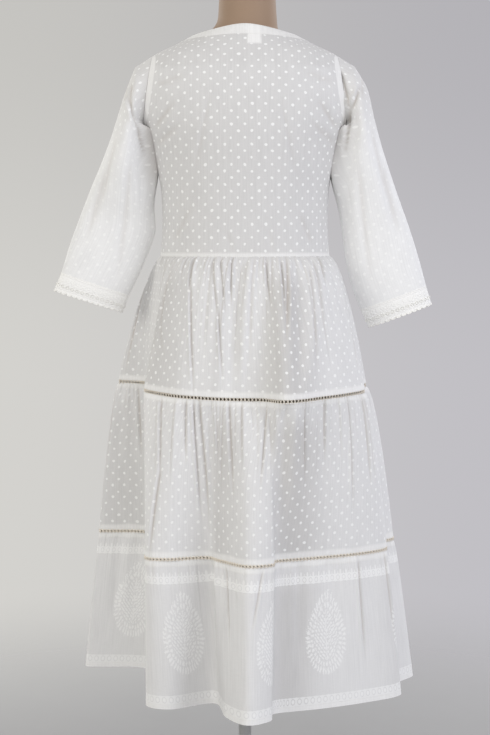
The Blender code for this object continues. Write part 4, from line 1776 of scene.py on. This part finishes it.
class GrowTree(Nodes):
    """A Geometry Nodes tree that grows threads, cords or stitches along paths."""

    def __init__(self, name: str) -> None:
        """Start the tree with its geometry in and out.

        Args:
            name: The tree's name.
        """
        super().__init__(bpy.data.node_groups.new(name, "GeometryNodeTree"))
        self.tree.interface.new_socket("Geometry", in_out="INPUT", socket_type="NodeSocketGeometry")
        self.tree.interface.new_socket("Geometry", in_out="OUTPUT", socket_type="NodeSocketGeometry")
        self.way_in = self.tree.nodes.new("NodeGroupInput")
        self.way_out = self.tree.nodes.new("NodeGroupOutput")

    def sizes(self, usual: dict[str, float]) -> list[Socket]:
        """Add named sizes to the tree's inputs.

        Args:
            usual: Their usual values in metres, by name.

        Returns:
            The sockets that give them inside the tree.
        """
        for name, value in usual.items():
            item = self.tree.interface.new_socket(name, in_out="INPUT", socket_type="NodeSocketFloat")
            item.default_value = value
        return [self.way_in.outputs[name] for name in usual]

    def half(self, value: Socket, share: float = 0.5) -> Socket:
        """Return a share of a size."""
        return self.put("ShaderNodeMath", {"operation": "MULTIPLY"}, {0: value, 1: share})

    def spots(self, pitch: Socket) -> Socket:
        """Return the paths as curves with a point at every pitch."""
        curve = self.put("GeometryNodeMeshToCurve", {}, {0: self.way_in.outputs[0]})
        return self.put("GeometryNodeResampleCurve", {"mode": "LENGTH"}, {"Curve": curve, "Length": pitch})

    def set_along(self, curve: Any, shape: Any, pivot: str) -> Socket:
        """Set a shape on each point with its X axis along the path.

        Args:
            curve: The paths.
            shape: What is set on them.
            pivot: The axis that the shapes turn about.

        Returns:
            The instances.
        """
        tangent = self.put("GeometryNodeInputTangent", {}, {})
        settings = {"axis": "X", "pivot_axis": pivot}
        turn = self.put("FunctionNodeAlignRotationToVector", settings, {"Vector": tangent})
        inputs = {"Points": curve, "Instance": shape, "Rotation": turn}
        return self.put("GeometryNodeInstanceOnPoints", {}, inputs)

    def close(self, geometry: Any, material: Finish) -> "GrowTree":
        """End the tree in Realize Instances and Set Material.

        Args:
            geometry: What it has grown.
            material: Its finish.

        Returns:
            The finished tree.
        """
        solid = self.put("GeometryNodeRealizeInstances", {}, {0: geometry})
        done = self.put("GeometryNodeSetMaterial", {}, {"Geometry": solid, "Material": material})
        self.tree.links.new(done, self.way_out.inputs[0])
        return self

    def grow(self, name: str, paths: Sequence[Path], sizes: dict[str, float]) -> Piece:
        """Grow the tree on paths and turn the result into a plain mesh.

        Args:
            name: The new object's name.
            paths: Lists of points, each with whether it closes.
            sizes: Values for the tree's named inputs.

        Returns:
            The new object, without its modifier.
        """
        points = np.concatenate([path for path, _ in paths])
        edges, start = [], 0
        for path, closed in paths:
            run = np.arange(start, start + len(path))
            edges += list(zip(run[:-1].tolist(), run[1:].tolist()))
            edges += [(int(run[-1]), int(run[0]))] if closed else []
            start += len(path)
        mesh = bpy.data.meshes.new(name)
        mesh.from_pydata(points.tolist(), edges, [])
        thing = placed(name, mesh)
        modifier = thing.modifiers.new("grow", "NODES")
        modifier.node_group = self.tree
        for item in self.tree.interface.items_tree:
            if item.item_type == "SOCKET" and item.name in sizes:
                modifier[item.identifier] = sizes[item.name]
        thing.update_tag()
        graph = bpy.context.evaluated_depsgraph_get()
        grown = bpy.data.meshes.new_from_object(thing.evaluated_get(graph), depsgraph=graph)
        thing.modifiers.remove(modifier)
        thing.data = grown
        grown.name = name
        bpy.data.meshes.remove(mesh)
        grown.shade_smooth()
        return thing


def stitch_tree(material: Finish) -> GrowTree:
    """Return the tree that sews a run of stitches.

    Args:
        material: The thread's finish.

    Returns:
        The tree, with inputs Pitch, Length and Thick.
    """
    tree = GrowTree("stitches")
    pitch, length, thick = tree.sizes({"Pitch": 0.0032, "Length": 0.0025, "Thick": 0.0006})
    ball = tree.put("GeometryNodeMeshUVSphere", {}, {"Segments": 5, "Rings": 3, "Radius": 1.0})
    radii = {0: tree.half(length), 1: tree.half(thick), 2: tree.half(thick)}
    scale = tree.put("ShaderNodeCombineXYZ", {}, radii)
    stitch = tree.put("GeometryNodeTransform", {}, {"Geometry": ball, "Scale": scale})
    return tree.close(tree.set_along(tree.spots(pitch), stitch, "AUTO"), material)


def ladder_tree(material: Finish) -> GrowTree:
    """Return the tree that crosses two threads over an insertion at every pitch.

    Args:
        material: The thread's finish.

    Returns:
        The tree, with inputs Pitch, Height and Thick.
    """
    tree = GrowTree("ladder")
    pitch, height, thick = tree.sizes({"Pitch": 0.005, "Height": 0.006, "Thick": 0.0011})
    square = [tree.put("ShaderNodeMath", {"operation": "MULTIPLY"}, {0: s, 1: s}) for s in (pitch, height)]
    whole = tree.put("ShaderNodeMath", {"operation": "ADD"}, {0: square[0], 1: square[1]})
    long = tree.put("ShaderNodeMath", {"operation": "SQRT"}, {0: whole})
    slant = tree.put("ShaderNodeMath", {"operation": "ARCTAN2"}, {0: pitch, 1: height})
    inputs = {"Vertices": 6, "Side Segments": 1, "Radius": tree.half(thick), "Depth": long}
    thread = tree.put("GeometryNodeMeshCylinder", {"fill_type": "NGON"}, inputs)
    parts = []
    for sign, lift in ((1.0, 0.25), (-1.0, -0.25)):
        angle = tree.half(slant, sign)
        turn = tree.put("ShaderNodeCombineXYZ", {}, {1: angle})
        move = tree.put("ShaderNodeCombineXYZ", {}, {1: tree.half(thick, lift)})
        inputs = {"Geometry": thread, "Translation": move, "Rotation": turn}
        parts.append(tree.put("GeometryNodeTransform", {}, inputs))
    knot = tree.put("GeometryNodeMeshIcoSphere", {}, {"Radius": tree.half(thick, 0.8), "Subdivisions": 1})
    join = tree.tree.nodes.new("GeometryNodeJoinGeometry")
    for part in (*parts, knot):
        tree.tree.links.new(part, join.inputs[0])
    return tree.close(tree.set_along(tree.spots(pitch), join.outputs[0], "Z"), material)


def cord_tree(material: Finish) -> GrowTree:
    """Return the tree that lays a round cord along each path.

    Args:
        material: The cord's finish.

    Returns:
        The tree, with inputs Pitch and Thick.
    """
    tree = GrowTree("cord")
    pitch, thick = tree.sizes({"Pitch": 0.003, "Thick": 0.0012})
    ring = tree.put("GeometryNodeCurvePrimitiveCircle", {}, {"Resolution": 6, "Radius": tree.half(thick)})
    inputs = {"Curve": tree.spots(pitch), "Profile Curve": ring, "Fill Caps": True}
    return tree.close(tree.put("GeometryNodeCurveToMesh", {}, inputs), material)


def ring_tree(material: Finish) -> GrowTree:
    """Return the tree that sews a raised ring at every pitch, lying on the cloth.

    Args:
        material: The thread's finish.

    Returns:
        The tree, with inputs Pitch, Across and Thick.
    """
    tree = GrowTree("rings")
    pitch, across, thick = tree.sizes({"Pitch": SCALLOP, "Across": 0.005, "Thick": 0.001})
    inputs = {"Resolution": 12, "Radius": tree.half(across)}
    loop = tree.put("GeometryNodeCurvePrimitiveCircle", {}, inputs)
    section = tree.put("GeometryNodeCurvePrimitiveCircle", {}, {"Resolution": 5, "Radius": tree.half(thick)})
    ring = tree.put("GeometryNodeCurveToMesh", {}, {"Curve": loop, "Profile Curve": section})
    upright = tree.put("GeometryNodeTransform", {}, {"Geometry": ring, "Rotation": (math.pi / 2, 0.0, 0.0)})
    return tree.close(tree.set_along(tree.spots(pitch), upright, "Z"), material)


class DragLine(NamedTuple):
    """A crease on the bodice or a sleeve, between two points seen from behind.

    A positive depth is a hollow with a soft ridge beside it. It lies on the back unless front.
    """

    x_1: float
    z_1: float
    x_2: float
    z_2: float
    depth: float
    width: float
    front: bool = False


BODICE_LINES = (
    DragLine(-0.058, 1.310, -0.082, 1.190, 0.0010, 0.0040),
    DragLine(0.060, 1.300, 0.084, 1.185, 0.0010, 0.0040),
    DragLine(-0.150, 1.262, -0.118, 1.300, 0.0018, 0.0060),
    DragLine(-0.146, 1.235, -0.110, 1.262, 0.0014, 0.0060),
    DragLine(0.152, 1.262, 0.122, 1.305, 0.0018, 0.0060),
    DragLine(0.148, 1.236, 0.112, 1.268, 0.0014, 0.0060),
    DragLine(-0.118, 1.075, -0.090, 1.130, 0.0012, 0.0060),
    DragLine(0.112, 1.070, 0.090, 1.120, 0.0012, 0.0060),
    DragLine(-0.020, 1.056, -0.030, 1.090, 0.0008, 0.0040),
    DragLine(0.046, 1.056, 0.040, 1.095, 0.0008, 0.0040),
    DragLine(-0.148, 1.330, -0.100, 1.345, 0.0012, 0.0070),
    DragLine(0.146, 1.335, 0.100, 1.350, 0.0012, 0.0070),
    DragLine(-0.080, 1.230, -0.110, 1.262, 0.0014, 0.0060, True),
    DragLine(0.082, 1.228, 0.112, 1.262, 0.0014, 0.0060, True),
    DragLine(-0.040, 1.060, -0.060, 1.150, 0.0010, 0.0050, True),
    DragLine(0.042, 1.060, 0.062, 1.150, 0.0010, 0.0050, True),
)
SLEEVE_LINES = {
    Side.LEFT: (
        DragLine(-0.1955, 1.312, -0.1800, 1.266, 0.0050, 0.0034),
        DragLine(-0.1815, 1.272, -0.1690, 1.212, 0.0046, 0.0036),
        DragLine(-0.1900, 1.335, -0.1940, 1.300, 0.0030, 0.0032),
        DragLine(-0.1990, 1.345, -0.2010, 1.305, 0.0026, 0.0040),
        DragLine(-0.215, 1.250, -0.250, 1.120, 0.0016, 0.0070),
        DragLine(-0.235, 1.190, -0.268, 1.080, 0.0018, 0.0090),
        DragLine(-0.190, 1.210, -0.215, 1.020, 0.0014, 0.0080),
        DragLine(-0.174, 1.255, -0.204, 1.290, 0.0036, 0.0055, True),
        DragLine(-0.166, 1.150, -0.215, 1.140, 0.0012, 0.0080, True),
        DragLine(-0.162, 1.110, -0.210, 1.080, 0.0012, 0.0080, True),
    ),
    Side.RIGHT: (
        DragLine(0.1590, 1.358, 0.1750, 1.290, 0.0040, 0.0030),
        DragLine(0.1925, 1.328, 0.1755, 1.288, 0.0046, 0.0034),
        DragLine(0.1755, 1.293, 0.1680, 1.215, 0.0046, 0.0034),
        DragLine(0.1990, 1.350, 0.1960, 1.310, 0.0022, 0.0036),
        DragLine(0.212, 1.260, 0.246, 1.130, 0.0016, 0.0070),
        DragLine(0.232, 1.200, 0.262, 1.085, 0.0018, 0.0090),
        DragLine(0.190, 1.200, 0.214, 1.010, 0.0014, 0.0080),
        DragLine(0.176, 1.255, 0.206, 1.292, 0.0036, 0.0055, True),
        DragLine(0.166, 1.150, 0.212, 1.130, 0.0012, 0.0080, True),
        DragLine(0.170, 1.095, 0.214, 1.066, 0.0012, 0.0080, True),
    ),
}


def drag(cloth: ClothGrid, lines: Sequence[DragLine]) -> None:
    """Press the listed creases into a piece of cloth, and paint shade along their lines.

    Args:
        cloth: The cloth to change.
        lines: Its creases.
    """
    x, z = cloth.points[..., 0], cloth.points[..., 2]
    facing = cloth.normals()[..., 1]
    height, mark = np.zeros_like(x), np.zeros_like(x)
    for line in lines:
        along = np.array([line.x_2 - line.x_1, line.z_2 - line.z_1])
        length = float(np.linalg.norm(along))
        along = along / length
        gone = (x - line.x_1) * along[0] + (z - line.z_1) * along[1]
        away = (x - line.x_1) * along[1] - (z - line.z_1) * along[0]
        s = away / line.width
        shape = 0.6 * np.exp(-((s - 1.7) ** 2) / 1.3) - np.exp(-(s**2))
        share = gone / length
        fade = eased(share, -0.12, 0.22) * eased(share, 1.15, 0.60)
        side = eased(facing, 0.0, 0.25) if line.front else eased(facing, 0.0, -0.25)
        height += line.depth * shape * fade * side
        # Painted shade along each crease's line, more for deeper creases
        strength = min(1.0, line.depth / 0.004)
        mark = np.maximum(mark, strength * np.exp(-((s / 0.55) ** 2)) * fade * side)
    cloth.marks["crease"] = mark
    cloth.push(height)


def level_line(cloth: ClothGrid, down: float, lift: float = STITCH_LIFT) -> Array:
    """Return a line of points along the cloth at one place on its flat height.

    Args:
        cloth: The cloth.
        down: The place along the flat cloth.
        lift: How far above its outer face the line lies.

    Returns:
        The points from the first column to the last.
    """
    raised = cloth.points + cloth.normals() * lift
    line = []
    for c in range(raised.shape[1]):
        marks, column = cloth.flat[:, c, 1], raised[:, c]
        order = np.argsort(marks)
        line.append([np.interp(down, marks[order], column[order, k]) for k in range(3)])
    return np.array(line)


def dressed(piece: Piece, slot: str, *nodes: str) -> Piece:
    """Tie a piece to the stand, hide the solids that it replaces and log its triangles.

    Args:
        piece: The piece.
        slot: The record's material slot for the piece's finish; not used.
        nodes: The solids that it replaces.

    Returns:
        The piece.
    """
    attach(piece, "root")
    if nodes:
        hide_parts(*nodes)
    faces = sum(face.loop_total - 2 for face in piece.data.polygons)
    LOG.info("%s: %d triangles", piece.name, faces)
    return piece


class Ladder(NamedTuple):
    """The sizes of a lace insertion.

    Its crossed threads are reach times as tall as the opening, and it lies inset behind the
    seam's line.
    """

    thread: float
    cord: float
    reach: float
    inset: float
    pitch: float = 0.0061


# The lower insertion is the denser lace. The upper one's threads reach on behind the cloth
LADDERS = (Ladder(0.0016, 0.0010, 1.6, 0.0014), Ladder(0.0023, 0.0021, 1.0, 0.0006))


@dataclass
class Dress:
    """The whole dress, built from the waist up and then down.

    Attributes:
        thread: The sewing thread's finish.
        lace_thread: The cuffs' thread.
        ladder_thread: The insertions' thread, painted tan: partly its own cream, partly painted shade for the
            dark inside seen between its threads.
        tape: Width of the doubled cloth beside each insertion.
        hem: Height of the turned-up hem.
        stitch: Space from one stitch to the next.
        label_x: How far the blank label lies to the right of the middle.
        label_size: Its width and height.
        bodice_size: The flat width of a half bodice, and the lengths of its back and front; not used.
        sleeve_size: A flat sleeve's width at its widest, and its mean width.
        waist_fold: Where the doubled cloth over the waist seam starts to end, and ends.
        waist_rows: Heights of the rows of stitches there.
        neck_rows: Where rows of stitches lie on the facing, as shares of its width.
        edge_row: How far the rows beside an insertion lie from it.
        body: The surface of the bodice.
        seams: The rows of stitches to sew, as paths.
    """

    thread: Finish
    lace_thread: Finish
    ladder_thread: Finish
    tape: float = 0.0090
    hem: float = 0.0080
    stitch: float = 0.0032
    label_x: float = 0.0155
    label_size: tuple[float, float] = (0.020, 0.034)
    bodice_size: tuple[float, float, float] = (0.465, 0.42, 0.40)
    sleeve_size: tuple[float, float] = (0.34, 0.27)
    waist_fold: tuple[float, float] = (0.0066, 0.0076)
    waist_rows: tuple[float, float] = (0.0012, 0.0068)
    neck_rows: tuple[float, float] = (0.10, 0.95)
    edge_row: float = 0.0013
    body: BodiceShape = field(default_factory=BodiceShape)
    seams: list[Path] = field(default_factory=list)

    def build_bodice(self) -> list[Piece]:
        """Build both halves of the bodice with their facings.

        Returns:
            The two shells.
        """
        cotton = Cotton("bodice_cotton", crinkle=0.00006).material()
        plain = Cotton("facing_cotton", ground=(0.80, 0.80, 0.79), printed=Print.PLAIN).material()
        shells = []
        for half in Half:
            name = half.name.lower()
            bodice = Bodice(half, self.body)
            cloth = bodice.grid()
            drag(cloth, [line for line in BODICE_LINES if line.front is (half is Half.FRONT)])
            # Painted shade where the form shows through the thin cloth
            cloth.marks["near"] = form_painted_shade(cloth.points)
            waist = eased(cloth.flat[..., 1], *reversed(self.waist_fold))
            cloth.marks["doubled"] = np.maximum(cloth.marks["doubled"], waist)
            facing = self.facing(cloth, bodice)
            if half is Half.BACK:
                label = self.label(facing)
                piece = label.shell("blank_label", CLOTH, plain)
                dressed(piece, "facing", "label_blank")
                x = np.abs(cloth.points[..., 0] - self.label_x)
                run = cloth.flat[..., 1] - cloth.flat[-bodice.facing_rows - 1, :, 1]
                patch = eased(x, 0.0118, 0.0104) * eased(run, -0.0190, -0.0175)
                cloth.marks["doubled"] = np.maximum(cloth.marks["doubled"], 1.25 * patch)
            shell = dressed(cloth.shell(f"bodice_{name}_cloth", CLOTH, cotton), "cotton", f"bodice_{name}")
            cloth.area()
            band = facing.shell(f"neck_facing_{name}_cloth", CLOTH, plain)
            dressed(band, "facing", f"neck_facing_{name}")
            width = self.body.facing_width
            facing.area() / width
            raised = cloth.points + cloth.normals() * STITCH_LIFT
            top, low = raised[-1], raised[-bodice.facing_rows - 1]
            self.seams += [(level_line(cloth, down), False) for down in self.waist_rows]
            self.seams += [(mixed(top, low, share), False) for share in self.neck_rows]
            shells.append(shell)
        return shells

    def facing(self, cloth: ClothGrid, bodice: Bodice) -> ClothGrid:
        """Lay the facing inside a half bodice's neck edge.

        Args:
            cloth: The half bodice's cloth.
            bodice: Its sizes.

        Returns:
            The facing's outer face.
        """
        rows = slice(-bodice.facing_rows - 1, None)
        depth = CLOTH + SEAM_GAP
        points = (cloth.points - cloth.normals() * depth)[rows]
        blank = np.zeros(points.shape[:2])
        marks = {"printed": blank, "near": blank, "doubled": blank}
        return ClothGrid(points, cloth.flat[rows], marks=marks)

    def label(self, facing: ClothGrid) -> ClothGrid:
        """Lay the blank label inside the back facing, hanging a little below it.

        Args:
            facing: The back facing.

        Returns:
            The label's outer face.
        """
        line, half = facing.points[0], self.label_size[0] / 2
        first = int(np.argmin(np.abs(line[:, 0] - self.label_x + half)))
        last = int(np.argmin(np.abs(line[:, 0] - self.label_x - half)))
        first, last = min(first, last), max(first, last) + 1
        inner = facing.points - facing.normals() * (CLOTH + SEAM_GAP)
        points = inner[:-2, first:last]
        hanging = points[:1] - (points[1:2] - points[:1]) * np.array([6.0, 4.0, 2.0])[:, None, None]
        points = np.concatenate([hanging, points])
        rows = np.concatenate([facing.flat[:1, first:last]] * 3 + [facing.flat[:-2, first:last]])
        blank = np.zeros(points.shape[:2])
        marks = {"printed": blank, "near": blank, "doubled": blank + 1.0}
        return ClothGrid(points, rows, marks=marks)

    def build_sleeves(self, lace: Finish) -> None:
        """Build both sleeves with their lace cuffs.

        Args:
            lace: The cuffs' finish.
        """
        # The sleeves' cotton is a lighter copy of the bodice's: painted light, for the thin sleeves with no
        # form behind them
        cotton = Cotton("sleeve_cotton", ground=(0.83, 0.83, 0.825), crinkle=0.00008).material()
        cord, rings = cord_tree(self.lace_thread), ring_tree(self.lace_thread)
        for side, rows in ((Side.LEFT, LEFT_SLEEVE), (Side.RIGHT, RIGHT_SLEEVE)):
            name = side.name.lower()
            sleeve = Sleeve(side, rows, self.body)
            cloth = sleeve.grid()
            slack = sleeve.close_underarm(cloth) * eased(cloth.points[..., 2], 1.15, 1.20)
            drag(cloth, SLEEVE_LINES[side])
            # Painted shade in the recess under the arm, stronger on the left
            shadow = slack * (0.55 if side is Side.LEFT else 0.25)
            cloth.marks["crease"] = np.maximum(cloth.marks["crease"], shadow)
            cloth.marks["doubled"] = np.zeros(cloth.points.shape[:2])
            shell = dressed(cloth.shell(f"sleeve_{name}_cloth", CLOTH, cotton), "cotton", f"sleeve_{name}")
            area = cloth.area()
            widest, mean = self.sleeve_size
            area / mean
            cuff = sleeve.cuff_grid()
            band = cuff.shell(f"cuff_{name}_lace", LACE, lace)
            dressed(band, "lace", f"cuff_lace_{name}")
            edge = cuff.points[0] + unit(cuff.points[0] - cuff.points[1]) * 0.0004
            trim = cord.grow(f"cuff_{name}_edge", [(edge, True)], {"Pitch": 0.0012, "Thick": 0.0017})
            dressed(trim, "lace")
            row = [(level_line(cuff, RING_ROW, 0.0006), True)]
            sizes = {"Pitch": SCALLOP, "Across": 0.0052, "Thick": 0.0010}
            eyes = rings.grow(f"cuff_{name}_rings", row, sizes)
            dressed(eyes, "lace")
            size = (cuff.area() / CUFF_DEPTH, CUFF_DEPTH)
            self.seams.append((level_line(cuff, 0.0016), True))

    def build_skirt(self) -> None:
        """Build the three tiers and the insertions between them.
        """
        rings = FoldCurve(SKIRT_POINTS).rings()
        for tier in TIERS:
            cloth = tier.grid(rings)
            last = tier.bottom_z == HEM_Z
            # Each lower tier's cotton is a lighter copy of the first's: painted light, making up for the
            # dimmer light low on the skirt
            cotton = Cotton(
                f"{tier.name}_cotton",
                ground=tuple(c + 0.018 * tier.level for c in Cotton.ground),
                printed=Print.BORDERS if last else Print.DOTS,
                top_band=self.tape if tier.level else 0.0,
                bottom_band=self.hem if last else self.tape,
                height=float(cloth.flat[0, 0, 1]),
            ).material()
            shell = cloth.shell(f"{tier.name}_cloth", CLOTH, cotton)
            dressed(shell, "cotton", f"{tier.name}_front", f"{tier.name}_back")
            wide, high = float(cloth.flat[0, -1, 0]), float(cloth.flat[0, 0, 1])
            parts = []
            if not last:
                parts = self.insertion(tier, rings[tier.level + 1])
            lines = [high - self.hem] if last else [high - self.edge_row, high - self.tape]
            lines += [self.edge_row, self.tape] if tier.level else []
            self.seams += [(level_line(cloth, line), True) for line in lines]

    def insertion(self, tier: Tier, plan: Array) -> list[Piece]:
        """Build the ladder lace below a tier.

        Args:
            tier: The tier above it.
            plan: The insertion's plan ring.

        Returns:
            Its pieces.
        """
        number = tier.level + 1
        height = tier.bottom_z + seam_lift(tier.bottom_z, plan)
        middle = np.concatenate([plan, height[:, None]], axis=-1)
        out = np.roll(plan, -1, axis=0) - np.roll(plan, 1, axis=0)
        inward = unit(np.stack([-out[:, 1], out[:, 0], np.zeros(len(plan))], axis=-1))
        lace = LADDERS[tier.level]
        middle = middle + inward * lace.inset
        sizes = {"Pitch": lace.pitch, "Height": INSERT_HEIGHT * lace.reach, "Thick": lace.thread}
        ladder = ladder_tree(self.ladder_thread).grow(f"insertion_{number}_ladder", [(middle, True)], sizes)
        dressed(ladder, "lace", f"lace_insert_{number}_front", f"lace_insert_{number}_back")
        rise = np.array([0.0, 0.0, INSERT_HEIGHT / 2])
        rails = [(middle + rise, True), (middle - rise, True)]
        sizes = {"Pitch": 0.004, "Thick": lace.cord}
        edges = cord_tree(self.thread).grow(f"insertion_{number}_edges", rails, sizes)
        return [ladder, dressed(edges, "lace")]

    def sew(self) -> None:
        """Sew every row of stitches that the other methods marked."""
        sizes = {"Pitch": self.stitch, "Length": 0.0025, "Thick": 0.00055}
        dressed(stitch_tree(self.thread).grow("stitching", self.seams, sizes), "facing")


class Softbox(NamedTuple):
    """A square studio light that points at the dress."""

    name: str
    place: tuple[float, float, float]
    size: float
    power: float
    colour: Colour


SOFTBOXES = (
    Softbox("left_box", (-2.7, -2.2, 1.9), 1.4, 27.0, (1.0, 0.975, 0.925)),
    Softbox("right_box", (2.8, -2.0, 1.8), 1.3, 42.0, (0.905, 0.935, 1.0)),
    Softbox("high_box", (0.1, -3.2, 2.9), 1.6, 26.0, (0.985, 0.99, 1.0)),
    Softbox("front_left_box", (-2.6, 2.6, 2.2), 1.6, 29.0, (1.0, 0.99, 0.97)),
    Softbox("front_right_box", (2.6, 2.6, 2.2), 1.6, 31.0, (0.97, 0.98, 1.0)),
)


@dataclass
class Studio:
    """The camera, lights, floor and background.

    Attributes:
        lens_px: The camera's focal length in the photograph's pixels.
        drop_px: How far the horizon lies above the frame's middle.
        frame_px: The frame's long side.
        eye: Where the camera stands.
        aim_z: The height that the lights point at.
        left: Background colour to the left.
        right: Background colour to the right.
    """

    lens_px: float = 1628.0
    drop_px: float = 137.5
    frame_px: float = 735.0
    eye: tuple[float, float, float] = (0.0, -2.8, 1.091)
    aim_z: float = 0.85
    left: Colour = (0.655, 0.645, 0.618)
    right: Colour = (0.535, 0.525, 0.555)

    def add_camera(self) -> None:
        """Set the camera behind the dress at the photograph's angle."""
        lens = bpy.data.cameras.new("camera")
        lens.sensor_width = 36.0
        lens.lens = self.lens_px / self.frame_px * lens.sensor_width
        eye = placed("camera", lens)
        eye.location = self.eye
        eye.rotation_euler = (math.pi / 2 - math.atan(self.drop_px / self.lens_px), 0.0, 0.0)
        bpy.context.scene.camera = eye

    def add_lights(self) -> None:
        """Set the softboxes, each turned to the dress's middle."""
        for box in SOFTBOXES:
            lamp = bpy.data.lights.new(box.name, "AREA")
            lamp.energy, lamp.size, lamp.color = box.power, box.size, box.colour
            thing = placed(box.name, lamp)
            thing.location = box.place
            away = Vector(box.place) - Vector((0.0, 0.0, self.aim_z))
            thing.rotation_euler = away.to_track_quat("Z", "Y").to_euler()

    def add_background(self) -> None:
        """Set the plain grey background, warmer to the left."""
        world = bpy.data.worlds.new("studio")
        world.use_nodes = True
        nodes, smooth = Nodes(world.node_tree), {"interpolation_type": "SMOOTHSTEP"}
        place = nodes.put("ShaderNodeTexCoord", {}, {}, "Generated")
        way = nodes.put("ShaderNodeSeparateXYZ", {}, {0: place}).node.outputs
        across = {"Value": way["X"], "From Min": -0.16, "From Max": 0.16}
        share = nodes.put("ShaderNodeMapRange", smooth, across)
        ends = {0: share, 6: (*self.left, 1.0), 7: (*self.right, 1.0)}
        colour = nodes.put("ShaderNodeMix", {"data_type": "RGBA"}, ends, 2)
        rise = {"Value": way["Z"], "From Min": -0.10, "From Max": 0.14, "To Min": 1.0, "To Max": 0.86}
        strength = nodes.put("ShaderNodeMapRange", smooth, rise)
        background = world.node_tree.nodes["Background"]
        nodes.tree.links.new(colour, background.inputs["Color"])
        nodes.tree.links.new(strength, background.inputs["Strength"])
        bpy.context.scene.world = world
        bpy.context.scene.view_settings.view_transform = "Standard"

    def add_floor(self, material: Finish) -> None:
        """Lay a pale round floor.

        Args:
            material: Its finish.
        """
        radii = np.array([0.02, 0.4, 0.9, 1.5, 2.3])[:, None]
        turn = 2 * np.pi * np.arange(64)[None] / 64
        ring = np.stack([radii * np.cos(turn), radii * np.sin(turn), 0 * turn * radii - 0.0005], axis=-1)
        at = wrapped(np.arange(ring[..., 0].size).reshape(ring.shape[:2]))
        quads = np.stack([at[:-1, :-1], at[1:, :-1], at[1:, 1:], at[:-1, 1:]], axis=-1).reshape(-1, 4)
        make_mesh("floor", ring.reshape(-1, 3), quads, material)


def finish_stand(paint: Finish) -> None:
    """Give the stand's solids their paint.

    Args:
        paint: The finish.
    """
    for name in ("stand_base", "stand_pole", "form_neck_cap"):
        solid = bpy.data.objects[name]
        for slot in solid.material_slots:
            slot.material = paint


def main() -> None:
    """Build and dress every piece."""
    logging.basicConfig(level=logging.INFO, format="%(message)s")
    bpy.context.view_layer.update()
    studio = Studio()
    studio.add_camera()
    studio.add_lights()
    studio.add_background()
    studio.add_floor(StudioFloor().material())
    finish_stand(StandPaint().material())
    dressed(FormShape().build(FormCover().material()), "form", "form_torso")
    colours = {
        "sewing_thread": Thread.colour,
        "lace_thread": (0.92, 0.91, 0.87),
        # The insertions' thread is painted tan: partly its own cream, partly painted shade for the dark
        # inside seen between its threads
        "ladder_thread": (0.86, 0.79, 0.68),
    }
    dress = Dress(*(Thread(name, colour).material() for name, colour in colours.items()))
    bodice = dress.build_bodice()
    dress.build_sleeves(CuffLace().material())
    dress.build_skirt()
    dress.sew()


if __name__ == "__main__":
    main()
